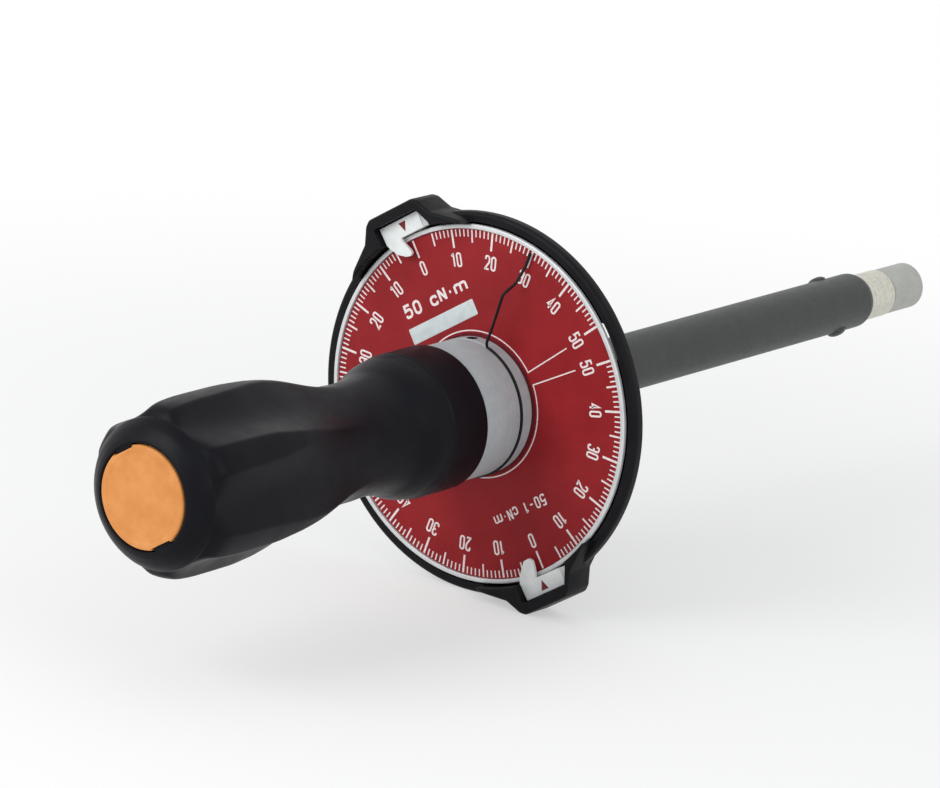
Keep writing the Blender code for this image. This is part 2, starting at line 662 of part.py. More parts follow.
def index_frame(frame):
    """The frame that turns with the bit: a dish with a hub on the tube, two windows and two deep ears."""
    back = BACK_REAR
    bore = TUBE_RADIUS + CLEARANCE
    profile = [
        (HUB_REAR, bore),
        (HUB_REAR, HUB_RADIUS - 0.5 * MM),
        (HUB_REAR - 0.5 * MM, HUB_RADIUS),
        (back + 0.8 * MM, HUB_RADIUS),
        (back, HUB_RADIUS + 0.8 * MM),
        (back, RING_RADIUS - 1.5 * MM),
        (back - 0.4 * MM, RING_RADIUS - 0.6 * MM),
        (back - 1.1 * MM, RING_RADIUS),
        (RING_FRONT + 0.6 * MM, RING_RADIUS),
        (RING_FRONT, RING_RADIUS - 0.6 * MM),
        (RING_FRONT, bore),
    ]
    body = turned("index_frame", profile, frame, FRAME_STEPS, ((0.013, 0.014, 0.016), 0, 0.45))
    deep = EAR_REAR - EAR_FRONT
    for side, name in ((1, "upper"), (-1, "lower")):
        boolean(body, slab(f"ear_{name}", ear_outline(side), EAR_FRONT, deep, frame), "UNION")
    room = [
        (BACK_FRONT, 0), (BACK_FRONT, RING_INNER_RADIUS),
        (EAR_FRONT - MM, RING_INNER_RADIUS), (EAR_FRONT - MM, 0),
    ]
    half_step = (0, math.pi / FRAME_STEPS, 0)
    dial_room = turned("dial_room", room, frame, FRAME_STEPS, rotation=half_step)
    boolean(body, dial_room, "DIFFERENCE")
    half, reach = INDEX_WIDTH / 2 + CLEARANCE, INDEX_OUTER + CLEARANCE
    pockets = slab(
        "index_pockets", [(-half, -reach), (half, -reach), (half, reach), (-half, reach)],
        EAR_FRONT - MM, INDEX_REAR + CLEARANCE - EAR_FRONT + MM, frame,
    )
    boolean(body, pockets, "DIFFERENCE")
    for side, name in ((1, "right"), (-1, "left")):
        x0, x1 = sorted((side * WINDOW_INNER, side * WINDOW_OUTER))
        outline = rounded_box(x0, x1, -WINDOW_HEIGHT / 2, WINDOW_HEIGHT / 2, 2.5 * MM)
        window = slab(f"window_{name}", outline, BACK_FRONT - MM, BACK_THICKNESS + 2 * MM, frame)
        boolean(body, window, "DIFFERENCE")
    angle = math.radians(90)
    hole = radial_rod(
        "hub_screw_cut", angle, TUBE_RADIUS, HUB_RADIUS + MM, HUB_SCREW_RADIUS + CLEARANCE,
        HUB_SCREW_STATION, frame,
    )
    boolean(body, hole, "DIFFERENCE")
    radial_rod(
        "hub_set_screw", angle, TUBE_RADIUS + CLEARANCE, HUB_RADIUS - 0.3 * MM, HUB_SCREW_RADIUS,
        HUB_SCREW_STATION, frame, ((0.02, 0.02, 0.02), 1, 0.4),
    )
    return body


def index_piece(name, side, frame):
    """A white index: a block in the ear's pocket and one finger that reaches over the rim."""
    half = INDEX_WIDTH / 2
    block = [(-half, INDEX_INNER), (half, INDEX_INNER), (half, INDEX_OUTER), (-half, INDEX_OUTER)]
    finger = [
        (-FINGER_EDGE, INDEX_INNER + MM),
        (-FINGER_EDGE, FINGER_REACH + 0.4 * MM),
        (-FINGER_EDGE - 0.4 * MM, FINGER_REACH),
        (-FINGER_EDGE - 1.2 * MM, FINGER_REACH + 0.1 * MM),
        (-half - 0.1 * MM, INDEX_INNER - 1.2 * MM),
        (-half, INDEX_INNER + MM),
    ]
    white = ((0.8, 0.8, 0.78), 0, 0.4)
    body = slab(
        name, [(x, side * z) for x, z in block], INDEX_FACE, INDEX_REAR - INDEX_FACE, frame, white
    )
    reach = slab(f"{name}_finger", [(x, side * z) for x, z in finger], INDEX_FACE, FINGER_THICKNESS, frame)
    boolean(body, reach, "UNION")
    return body


def tube(frame):
    """The long tube that carries the index frame at its rear and the bit holder at its front."""
    profile = [
        (TUBE_END, TUBE_BORE),
        (TUBE_END, TUBE_RADIUS - 0.7 * MM),
        (TUBE_END - 0.5 * MM, TUBE_RADIUS - 0.3 * MM),
        (TUBE_END - 1.5 * MM, TUBE_RADIUS),
        (TUBE_REAR, TUBE_RADIUS),
        (TUBE_REAR, TUBE_BORE),
    ]
    body = turned("tube", profile, frame, 36, ((0.09, 0.10, 0.105), 0.3, 0.45))
    for side, name in ((0, "upper"), (1, "lower")):
        hole = radial_rod(
            f"tube_screw_cut_{name}", math.pi * side, 0, TUBE_RADIUS + MM, TUBE_SCREW_SHANK + CLEARANCE,
            TUBE_SCREW_STATION, frame,
        )
        boolean(body, hole, "DIFFERENCE")
    return body


def bushes(frame):
    """The two plain bushes that the journal turns in."""
    bronze = ((0.45, 0.28, 0.12), 1, 0.35)
    flange_rear = DIAL_THICKNESS + CLEARANCE
    flange_front, flange = TUBE_REAR - CLEARANCE, TUBE_RADIUS - 0.2 * MM
    rear = [
        (BUSH_SPLIT, BUSH_BORE), (BUSH_SPLIT, BUSH_RADIUS), (flange_front, BUSH_RADIUS),
        (flange_front, flange), (flange_rear, flange), (flange_rear, BUSH_BORE),
    ]
    turned("rear_bush", rear, frame, 24, bronze)
    end, start = clip_station() - CLIP_GROOVE, BUSH_SPLIT + 1.5 * MM
    front = [(end, BUSH_BORE), (end, BUSH_RADIUS), (start, BUSH_RADIUS), (start, BUSH_BORE)]
    turned("front_bush", front, frame, 24, bronze)


def tube_screws(frame):
    """Two domed screws, one each side, that hold the bit holder in the tube."""
    black = ((0.05, 0.055, 0.06), 1, 0.4)
    seat = TUBE_RADIUS + 0.1 * MM
    inner = BAR_HEAD_RADIUS + 2 * CLEARANCE + 0.2 * MM
    for side, name in ((0, "upper"), (1, "lower")):
        long = seat - inner
        profile = [
            (long + TUBE_SCREW_PROUD, 0),
            (long + TUBE_SCREW_PROUD, 0.45 * TUBE_SCREW_HEAD),
            (long + 0.75 * TUBE_SCREW_PROUD, 0.8 * TUBE_SCREW_HEAD),
            (long + 0.3 * TUBE_SCREW_PROUD, TUBE_SCREW_HEAD),
            (long, TUBE_SCREW_HEAD),
            (long, TUBE_SCREW_SHANK),
            (0, TUBE_SCREW_SHANK),
            (0, 0),
        ]
        spot = radial(math.pi * side, inner, TUBE_SCREW_STATION)
        screw = turned(f"tube_screw_{name}", profile, frame, 20, black, **spot)
        key = slab(f"tube_screw_key_{name}", polygon(6, 0.9 * MM), long - 0.4 * MM, 3 * MM, screw)
        boolean(screw, key, "DIFFERENCE")


def bit_holder(frame):
    """The bit holder: a tail in the tube, a bright neck, and a stem with the hexagon socket."""
    tail, bore = TUBE_BORE - CLEARANCE, BAR_HEAD_RADIUS + CLEARANCE
    bar_end = BAR_FRONT + CLEARANCE
    profile = [
        (HOLDER_FRONT, 0),
        (HOLDER_FRONT, STEM_RADIUS),
        (SLEEVE_REAR - CLEARANCE, STEM_RADIUS),
        (SLEEVE_REAR - CLEARANCE, NECK_RADIUS - 0.3 * MM),
        (SLEEVE_REAR - 2 * CLEARANCE, NECK_RADIUS),
        (TUBE_END + CLEARANCE, NECK_RADIUS),
        (TUBE_END + CLEARANCE, tail),
        (HOLDER_TAIL, tail),
        (HOLDER_TAIL, bore),
        (bar_end, bore),
        (bar_end, 0),
    ]
    body = turned("bit_holder", profile, frame, 32, ((0.62, 0.61, 0.58), 1, 0.3))
    socket = slab(
        "hex_socket", polygon(6, HEX_CORNER, math.pi / 6), HOLDER_FRONT - HEX_DEPTH, HEX_DEPTH + MM, frame
    )
    boolean(body, socket, "DIFFERENCE")
    for side, name in ((0, "upper"), (1, "lower")):
        hole = radial_rod(
            f"holder_screw_cut_{name}", math.pi * side, 0, TUBE_RADIUS, TUBE_SCREW_SHANK + CLEARANCE,
            TUBE_SCREW_STATION, frame,
        )
        boolean(body, hole, "DIFFERENCE")
    hole = radial_rod(
        "ball_cut", 0.0, 0, STEM_RADIUS + MM, BALL_RADIUS + CLEARANCE, BALL_STATION, frame
    )
    boolean(body, hole, "DIFFERENCE")
    ball = [
        (BALL_RADIUS * math.cos(math.radians(a)), BALL_RADIUS * math.sin(math.radians(a)))
        for a in range(0, 181, 30)
    ]
    ball[0], ball[-1] = (BALL_RADIUS, 0), (-BALL_RADIUS, 0)
    steel = ((0.6, 0.6, 0.62), 1, 0.2)
    turned("detent_ball", ball, frame, 12, steel, location=(0, BALL_STATION, BALL_CIRCLE))
    return body


def chuck_sleeve(frame):
    """The grey sleeve round the stem. Pulled forward, it brings a relief over the ball and frees it."""
    bore = SLEEVE_BORE
    relief = BALL_STATION - SLEEVE_TRAVEL
    profile = [
        (SLEEVE_FRONT, bore),
        (SLEEVE_FRONT, SLEEVE_RADIUS - 0.35 * MM),
        (SLEEVE_FRONT - 0.25 * MM, SLEEVE_RADIUS - 0.1 * MM),
        (SLEEVE_FRONT - 0.7 * MM, SLEEVE_RADIUS),
        (SLEEVE_REAR + 0.3 * MM, SLEEVE_RADIUS),
        (SLEEVE_REAR, SLEEVE_RADIUS - 0.3 * MM),
        (SLEEVE_REAR, bore),
        (relief - 1.2 * MM, bore),
        (relief - MM, bore + SLEEVE_RELIEF),
        (relief + MM, bore + SLEEVE_RELIEF),
        (relief + 1.2 * MM, bore),
    ]
    turned("chuck_sleeve", profile, frame, 32, ((0.36, 0.36, 0.35), 0.3, 0.6))


def build():
    clear_scene()
    make_collections()
    middle = (CAP_REAR + HOLDER_FRONT) / 2
    tool = add_empty("tool_frame", location=(0, -middle, RING_RADIUS), roll=REST_ROLL)
    driver = add_empty("driver_axis", tool)
    pointer = add_empty("pointer_axis", tool, location=(0, POINTER_STATION, 0))
    pointer_frame = add_empty("pointer_frame", pointer, location=(0, -POINTER_STATION, 0))
    chuck = add_empty("chuck_axis", driver)
    grip(tool)
    cap(tool)
    fasten_grip(tool)
    spindle(tool)
    collar(tool)
    dial(tool)
    torsion_bar(tool)
    journal_clip(tool)
    memory_pointer(pointer_frame)
    index_frame(driver)
    index_piece("index_upper", 1, driver)
    index_piece("index_lower", -1, driver)
    tube(driver)
    bushes(driver)
    tube_screws(driver)
    bit_holder(driver)
    chuck_sleeve(chuck)


build()
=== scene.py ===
"""The looks of a dial torque screwdriver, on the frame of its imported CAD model.

Every piece is made in the tool's own frame, in millimetres: y runs along the tool from the grip (-) to the
bit holder (+), station 0 is the front edge of the dial's rim, z points to the upper ear and x to the right
when the dial is read. TOOL places that frame in the world: it is baked into each mesh, and the materials go
back through it. Angles on the dial start at the upper zero and run clockwise as the dial is read.
"""

import math

import bmesh
import bpy
import numpy as np
from mathutils import Matrix, Vector


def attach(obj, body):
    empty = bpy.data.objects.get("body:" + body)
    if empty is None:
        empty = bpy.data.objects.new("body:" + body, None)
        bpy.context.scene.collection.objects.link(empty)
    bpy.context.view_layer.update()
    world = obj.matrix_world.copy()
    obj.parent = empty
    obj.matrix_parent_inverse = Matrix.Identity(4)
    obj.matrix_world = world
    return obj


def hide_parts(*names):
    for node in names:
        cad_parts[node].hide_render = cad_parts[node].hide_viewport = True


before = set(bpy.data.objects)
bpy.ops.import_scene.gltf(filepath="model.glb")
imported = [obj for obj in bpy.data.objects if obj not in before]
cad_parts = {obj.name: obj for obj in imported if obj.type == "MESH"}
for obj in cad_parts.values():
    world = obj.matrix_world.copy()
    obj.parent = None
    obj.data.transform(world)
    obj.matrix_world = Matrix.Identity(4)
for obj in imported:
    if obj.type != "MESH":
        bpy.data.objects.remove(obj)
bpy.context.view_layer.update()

MM = 0.001
EAR_CORNER = (6.2, 43.8)
RING_RADIUS = 40.0
REST_ROLL = math.atan2(*EAR_CORNER) + math.acos(RING_RADIUS / math.hypot(*EAR_CORNER))
TOOL = Matrix.Translation((0, -27.15 * MM, RING_RADIUS * MM)) @ Matrix.Rotation(-REST_ROLL, 4, "Y")

# Radii are named so. FACE, GROOVE, the screws and the ends are stations along the tool.
DIAL_RADIUS = 37.5
RIM_INNER_RADIUS = 36.55
SHEET_RADIUS = 36.5
TICK_RADIUS = 36.3
GAP_RADIUS = 14.72
COLLAR_RADIUS = 14.3
CAP_RADIUS = 10.33
CAP_SEAT_RADIUS = 9.53
BORE_RADIUS = 6.3
HUB_BORE_RADIUS = 6.4
TUBE_RADIUS = 6.1
FACE = 0.6
GRIP_FRONT = -15.5
GRIP_REAR = -105.0
GROOVE = -3.5
COLLAR_SCREW = -1.6
HUB_SCREW = 8.4
TUBE_SCREW = 128.0
TUBE_END = 138.5
HOLDER_END = 159.6


# ---------------------------------------------------------------- shapes

def new_object(name, data):
    """A new object, linked to the scene."""
    item = bpy.data.objects.new(name, data)
    bpy.context.scene.collection.objects.link(item)
    return item


def add_object(name, mesh, body, replaced=()):
    """A piece of the scene on a body of the frame, in place of the nodes that it replaces."""
    mesh.transform(TOOL)
    item = new_object(name, mesh)
    bpy.context.view_layer.update()
    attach(item, body)
    if replaced:
        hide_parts(*replaced)
    return item


def smooth(item, degrees=32):
    """Smooth shading, with edges sharper than this angle kept."""
    mesh = item.data
    mesh.polygons.foreach_set("use_smooth", [True] * len(mesh.polygons))
    mesh.set_sharp_from_angle(angle=math.radians(degrees))
    return item


def baked(item):
    """The mesh that an object's modifiers or its curve make."""
    bpy.context.view_layer.update()
    return bpy.data.meshes.new_from_object(item.evaluated_get(bpy.context.evaluated_depsgraph_get()))


def settle(item):
    """Replaces the object's modifiers by their result."""
    old, made = item.data, baked(item)
    item.modifiers.clear()
    item.data = made
    if old.users == 0:
        bpy.data.meshes.remove(old)
    return item


def drop(item):
    mesh = item.data
    bpy.data.objects.remove(item, do_unlink=True)
    if mesh.users == 0:
        bpy.data.meshes.remove(mesh)


def combine(target, other, operation):
    """An exact Boolean of the target with a helper, which is then removed."""
    step = target.modifiers.new(operation.lower(), "BOOLEAN")
    step.operation = operation
    step.solver = "EXACT"
    step.object = other
    settle(target)
    drop(other)


def rounded(points, closed=True, step=12.0):
    """A polyline of (a, b, radius) points with its corners rounded."""
    count = len(points)
    made = []
    for i, point in enumerate(points):
        radius = point[2] if len(point) > 2 else 0.0
        here = Vector(point[:2])
        if radius <= 0 or (not closed and i in (0, count - 1)):
            made.append((here.x, here.y))
            continue
        back = Vector(points[i - 1][:2]) - here
        ahead = Vector(points[(i + 1) % count][:2]) - here
        room = 0.49 * min(back.length, ahead.length)
        half = back.angle(ahead) / 2
        reach = min(radius / math.tan(half), room)
        radius = reach * math.tan(half)
        middle = here + (back.normalized() + ahead.normalized()).normalized() * (radius / math.sin(half))
        start = here + back.normalized() * reach - middle
        turn = math.pi - 2 * half
        sign = 1 if back.x * ahead.y - back.y * ahead.x < 0 else -1
        pieces = max(2, math.ceil(math.degrees(turn) / step))
        for k in range(pieces + 1):
            angle = sign * turn * k / pieces
            made.append((
                middle.x + start.x * math.cos(angle) - start.y * math.sin(angle),
                middle.y + start.x * math.sin(angle) + start.y * math.cos(angle),
            ))
    return made


def skin(shape, rings, closed=False):
    """Faces between rings of corners. The end rings are filled, or joined to each other where closed."""
    pairs = list(zip(rings, rings[1:])) + ([(rings[-1], rings[0])] if closed else [])
    for one, two in pairs:
        for k in range(len(one)):
            m = (k + 1) % len(one)
            shape.faces.new((one[k], one[m], two[m], two[k]))
    if not closed:
        shape.faces.new(rings[0])
        shape.faces.new(rings[-1])


def finish_mesh(shape, name):
    """The shape as a mesh, with doubled corners merged and all faces outward."""
    bmesh.ops.remove_doubles(shape, verts=shape.verts, dist=1e-8)
    bmesh.ops.recalc_face_normals(shape, faces=shape.faces)
    mesh = bpy.data.meshes.new(name)
    shape.to_mesh(mesh)
    shape.free()
    return mesh


def lathe_mesh(name, profile, segments, centre=(0, 0), phase=0.0):
    """A closed body turned about the y axis from (station, radius) points. Ends on the axis or is a loop."""
    shape = bmesh.new()
    rings = []
    for station, radius in profile:
        if radius < 1e-6:
            rings.append([shape.verts.new((centre[0] * MM, station * MM, centre[1] * MM))] * segments)
            continue
        ring = []
        for k in range(segments):
            angle = phase + 2 * math.pi * k / segments
            ring.append(shape.verts.new((
                (centre[0] + radius * math.sin(angle)) * MM, station * MM,
                (centre[1] + radius * math.cos(angle)) * MM,
            )))
        rings.append(ring)
    pairs = list(zip(rings, rings[1:]))
    if min(radius for _, radius in profile) > 1e-6:
        pairs.append((rings[-1], rings[0]))
    for one, two in pairs:
        for k in range(segments):
            corners = []
            for vert in (one[k], one[(k + 1) % segments], two[(k + 1) % segments], two[k]):
                if vert not in corners:
                    corners.append(vert)
            if len(corners) > 2:
                shape.faces.new(corners)
    return finish_mesh(shape, name)


def prism_mesh(name, outline, start, end):
    """An (x, z) outline extruded along y."""
    shape = bmesh.new()
    skin(shape, [[shape.verts.new((x * MM, y * MM, z * MM)) for x, z in outline] for y in (start, end)])
    return finish_mesh(shape, name)


def helper(mesh):
    """An object for a Boolean, in the tool's frame."""
    item = new_object(mesh.name, mesh)
    item.matrix_world = TOOL
    return item


def bevel(item, width, segments=3, degrees=40):
    """Rounds the edges that are sharper than this angle."""
    step = item.modifiers.new("edge", "BEVEL")
    step.width = width * MM
    step.segments = segments
    step.limit_method = "ANGLE"
    step.angle_limit = math.radians(degrees)
    return settle(item)


def polygon(sides, radius, phase=0.0, centre=(0, 0)):
    """The (x, z) corners of a regular polygon."""
    turns = [phase + 2 * math.pi * k / sides for k in range(sides)]
    return [(centre[0] + radius * math.sin(a), centre[1] + radius * math.cos(a)) for a in turns]


def turn_mesh(mesh, matrix):
    mesh.transform(matrix)
    return mesh


def outward(angle, inner, station):
    """Takes a body along its own +y onto the radial line at this angle, starting at the inner radius."""
    spot = Vector((inner * math.sin(angle), station, inner * math.cos(angle))) * MM
    return Matrix.Translation(spot) @ Matrix.Rotation(angle, 4, "Y") @ Matrix.Rotation(math.pi / 2, 4, "X")


def cut(item, mesh, place=Matrix()):
    """Takes a mesh, moved to its place, out of the item."""
    combine(item, helper(turn_mesh(mesh, place)), "DIFFERENCE")


def add_screw(name, node, body, mesh, place, key, look):
    """A screw laid along a radial line, with a hexagon recess given as its radius, start and end."""
    screw = add_object(name, turn_mesh(mesh, place), body, (node,))
    cut(screw, prism_mesh("key", polygon(6, key[0]), key[1], key[2]), place)
    smooth(wear(screw, look))


# ---------------------------------------------------------------- materials

def tone(red, green, blue):
    """A colour given as 0 to 255 display values."""
    values = [c / 255 for c in (red, green, blue)]
    return tuple(c / 12.92 if c <= 0.04045 else ((c + 0.055) / 1.055) ** 2.4 for c in values) + (1.0,)


def feed(tree, socket, value):
    """Links an input to the socket given as its value, or sets it."""
    if isinstance(value, bpy.types.NodeSocket):
        tree.links.new(value, socket)
    else:
        socket.default_value = value


def add_node(tree, kind, inputs=(), **settings):
    """A node with these settings. Its inputs are linked to sockets or set to values."""
    made = tree.nodes.new(kind)
    for key, value in settings.items():
        setattr(made, key, value)
    for key, value in dict(inputs).items():
        feed(tree, made.inputs[key], value)
    return made


class Look:
    """A material with its node tree and the few node patterns that this scene uses."""

    def __init__(self, name):
        self.material = bpy.data.materials.new(name)
        self.material.use_nodes = True
        self.tree = self.material.node_tree
        self.shader = self.tree.nodes["Principled BSDF"]
        world = self.node("ShaderNodeTexCoord").outputs["Object"]
        self.place = self.node(
            "ShaderNodeMapping", {"Vector": world, "Location": TOOL.translation, "Rotation": (0, -REST_ROLL, 0)},
            vector_type="TEXTURE",
        ).outputs[0]
        self.normal = None

    def node(self, kind, inputs=(), **settings):
        return add_node(self.tree, kind, inputs, **settings)

    def set(self, **values):
        """Sets or links the shader's inputs, with _ for each space in their names."""
        for key, value in values.items():
            feed(self.tree, self.shader.inputs[key.replace("_", " ")], value)

    def noise(self, size, detail=3.0, rough=0.55):
        """Noise with features of about this size in millimetres."""
        return self.node(
            "ShaderNodeTexNoise",
            {"Vector": self.place, "Scale": 1 / (size * MM), "Detail": detail, "Roughness": rough},
        ).outputs["Fac"]

    def along(self, size, detail=4.0, rough=0.6):
        """Noise that runs in rings round the tool's axis, as a lathe leaves it."""
        parts = self.node("ShaderNodeSeparateXYZ", {"Vector": self.place}).outputs
        flat = self.node("ShaderNodeCombineXYZ", {"X": parts["X"], "Z": parts["Z"]}).outputs[0]
        out = self.node("ShaderNodeVectorMath", {0: flat}, operation="LENGTH").outputs["Value"]
        where = self.math("ADD", parts["Y"], out)
        return self.node(
            "ShaderNodeTexNoise",
            {"W": where, "Scale": 1 / (size * MM), "Detail": detail, "Roughness": rough},
            noise_dimensions="1D",
        ).outputs["Fac"]

    def math(self, operation, one, two=0.0):
        return self.node("ShaderNodeMath", {0: one, 1: two}, operation=operation).outputs[0]

    def span(self, value, low, high, start=0.3, end=0.7):
        """The value's range from start to end as a number from low to high."""
        return self.node(
            "ShaderNodeMapRange",
            {"Value": value, "From Min": start, "From Max": end, "To Min": low, "To Max": high},
        ).outputs["Result"]

    def mix(self, share, one, two):
        made = self.node("ShaderNodeMix", data_type="RGBA")
        for key, value in (("Factor", share), ("A", one), ("B", two)):
            socket = [s for s in made.inputs if s.name == key and (key == "Factor" or s.type == "RGBA")][0]
            feed(self.tree, socket, value)
        return [s for s in made.outputs if s.type == "RGBA"][0]

    def bump(self, height, depth, strength=1.0):
        """Adds relief of this depth in millimetres to what is there already."""
        inputs = {"Height": height, "Distance": depth * MM, "Strength": strength}
        if self.normal:
            inputs["Normal"] = self.normal
        self.normal = self.node("ShaderNodeBump", inputs).outputs["Normal"]
        self.set(Normal=self.normal)

    def edges(self, radius, low=0.02, high=0.25):
        """1 along sharp edges, broken up by noise, and 0 elsewhere."""
        soft = self.node("ShaderNodeBevel", {"Radius": radius * MM}, samples=4).outputs["Normal"]
        plain = self.node("ShaderNodeNewGeometry").outputs["Normal"]
        dot = self.node("ShaderNodeVectorMath", {0: soft, 1: plain}, operation="DOT_PRODUCT").outputs["Value"]
        mask = self.span(self.math("SUBTRACT", 1.0, dot), 0.0, 1.0, low, high)
        return self.math("MULTIPLY", mask, self.span(self.noise(1.2, 4.0, 0.7), 0.15, 1.0, 0.35, 0.6))


def moulded(name, dark, light, rough, level, patch, grain, depth, worn):
    """Moulded plastic: cloudy colour and gloss, a fine grain, and edges rubbed lighter."""
    look = Look(name)
    cloud = look.span(look.noise(patch, 4.0, 0.6), 0.0, 1.0, 0.32, 0.68)
    colour = look.mix(cloud, dark, light)
    colour = look.mix(look.math("MULTIPLY", look.edges(0.35), 0.55), colour, worn)
    look.set(Base_Color=colour, Roughness=look.span(look.noise(patch / 3, 5.0, 0.65), *rough))
    look.set(Specular_IOR_Level=level)
    look.bump(look.noise(grain, 2.0, 0.5), depth, 0.6)
    look.bump(look.noise(6.0, 3.0, 0.5), 0.03, 0.35)
    return look


def turned_metal(name, dark, light, rough, mottle, mark=0.12, depth=0.004, metallic=1.0, worn=None):
    """Turned metal: rings left by the lathe, faint stains, and bright edges."""
    look = Look(name)
    rings = look.along(mark * 4, 5.0, 0.7)
    stain = look.noise(mottle, 4.0, 0.6)
    share = look.span(look.math("ADD", look.math("MULTIPLY", rings, 0.45), look.math("MULTIPLY", stain, 0.55)),
                      0.0, 1.0, 0.38, 0.62)
    colour = look.mix(share, dark, light)
    if worn:
        colour = look.mix(look.math("MULTIPLY", look.edges(0.3), 0.7), colour, worn)
    look.set(Base_Color=colour, Metallic=metallic, Roughness=look.span(look.noise(1.6, 4.0, 0.65), *rough))
    look.bump(look.along(mark, 4.0, 0.65), depth, 0.8)
    return look


def blasted(name, dark, light, rough, metallic, grain, depth, worn):
    """Blasted or coated metal: an even matt skin with a fine speckle."""
    look = Look(name)
    speck = look.noise(grain, 3.0, 0.7)
    cloud = look.noise(5.0, 4.0, 0.6)
    share = look.span(look.math("ADD", look.math("MULTIPLY", speck, 0.6), look.math("MULTIPLY", cloud, 0.4)),
                      0.0, 1.0, 0.36, 0.64)
    colour = look.mix(share, dark, light)
    colour = look.mix(look.math("MULTIPLY", look.edges(0.3), 0.6), colour, worn)
    look.set(Base_Color=colour, Metallic=metallic, Roughness=look.span(look.noise(1.1, 5.0, 0.7), *rough))
    look.bump(speck, depth, 0.7)
    return look


LOOKS = {}


def make_looks():
    LOOKS["grip"] = moulded(
        "grip_black", tone(10, 10, 15), tone(15, 16, 22), (0.33, 0.45), level=0.1, patch=14.0, grain=0.45,
        depth=0.005, worn=tone(46, 48, 53),
    )
    LOOKS["frame"] = moulded(
        "frame_black", tone(11, 11, 14), tone(19, 19, 22), (0.40, 0.54), level=0.12, patch=6.0, grain=0.3,
        depth=0.010, worn=tone(54, 55, 60),
    )
    LOOKS["cap"] = moulded(
        "cap_orange", tone(202, 129, 62), tone(215, 145, 80), (0.42, 0.55), level=0.3, patch=5.0, grain=0.3,
        depth=0.008, worn=tone(240, 186, 116),
    )
    LOOKS["oxide"] = moulded(
        "oxide_black", tone(8, 8, 10), tone(15, 15, 17), (0.58, 0.7), level=0.08, patch=1.5, grain=0.2,
        depth=0.006, worn=tone(60, 60, 62),
    )
    LOOKS["wire"] = moulded(
        "wire_black", tone(12, 11, 12), tone(24, 22, 23), (0.36, 0.5), level=0.16, patch=1.4, grain=0.16,
        depth=0.004, worn=tone(58, 56, 56),
    )
    LOOKS["collar"] = turned_metal(
        "collar_silver", tone(170, 182, 185), tone(184, 195, 198), (0.44, 0.56), mark=0.14, depth=0.003,
        metallic=0.2, mottle=3.0, worn=tone(214, 215, 216),
    )
    LOOKS["rim"] = turned_metal(
        "rim_silver", tone(202, 203, 205), tone(218, 219, 220), (0.46, 0.58), mark=0.16, depth=0.003,
        metallic=0.45, mottle=4.0, worn=tone(230, 230, 230),
    )
    LOOKS["neck"] = turned_metal(
        "neck_nickel", tone(186, 185, 174), tone(214, 213, 202), (0.3, 0.44), mark=0.1, depth=0.006,
        mottle=0.7, worn=tone(232, 231, 222),
    )
    LOOKS["steel"] = turned_metal(
        "plain_steel", tone(128, 129, 132), tone(158, 159, 162), (0.3, 0.45), mottle=2.0, worn=tone(190, 191, 193)
    )
    LOOKS["spring"] = turned_metal(
        "spring_steel", tone(92, 94, 102), tone(122, 124, 132), (0.24, 0.36), mark=0.1, depth=0.003, mottle=2.0
    )
    LOOKS["bronze"] = turned_metal(
        "bush_bronze", tone(150, 112, 66), tone(182, 142, 90), (0.32, 0.48), mark=0.14, depth=0.005, mottle=1.2
    )
    LOOKS["black_steel"] = blasted(
        "black_steel", tone(30, 31, 33), tone(46, 48, 50), (0.34, 0.5), metallic=0.6, grain=0.25, depth=0.006,
        worn=tone(96, 98, 100),
    )
    LOOKS["screw"] = blasted(
        "screw_grey", tone(50, 52, 53), tone(68, 70, 71), (0.34, 0.48), metallic=0.45, grain=0.25, depth=0.006,
        worn=tone(108, 110, 110),
    )
    LOOKS["tube"] = blasted(
        "tube_grey", tone(51, 54, 54), tone(61, 64, 64), (0.42, 0.54), metallic=0.3, grain=0.22, depth=0.006,
        worn=tone(98, 101, 100),
    )
    LOOKS["sleeve"] = blasted(
        "sleeve_grey", tone(170, 171, 166), tone(190, 191, 186), (0.56, 0.7), metallic=0.4, grain=0.32,
        depth=0.012, worn=tone(198, 199, 195),
    )
    LOOKS["print"] = print_look("print_white", tone(226, 208, 208), tone(240, 230, 229))
    # This red print also colours the ring that is painted in as the shade of the gap between sheet and collar.
    LOOKS["mark"] = print_look("print_red_and_gap_shade", tone(104, 26, 34), tone(124, 34, 42))
    LOOKS["label"] = label_look()
    LOOKS["scale"] = scale_look()
    LOOKS["index"] = index_look()


def print_look(name, dark, light):
    """Screen-printed ink, slightly uneven in cover."""
    look = Look(name)
    cover = look.span(look.noise(0.5, 4.0, 0.7), 0.0, 1.0, 0.35, 0.62)
    look.set(Base_Color=look.mix(cover, dark, light), Roughness=look.span(look.noise(0.8, 3.0), 0.45, 0.62))
    look.set(Specular_IOR_Level=0.3)
    look.bump(look.noise(0.22, 2.0), 0.003, 0.5)
    return look


def label_look():
    """A pale foil label, left bare."""
    look = Look("label_pale")
    cloud = look.span(look.noise(2.4, 4.0, 0.6), 0.0, 1.0, 0.35, 0.65)
    look.set(Base_Color=look.mix(cloud, tone(194, 201, 203), tone(209, 215, 216)))
    look.set(Roughness=look.span(look.noise(1.0, 4.0), 0.34, 0.5), Specular_IOR_Level=0.4)
    look.bump(look.noise(0.6, 3.0), 0.004, 0.5)
    return look


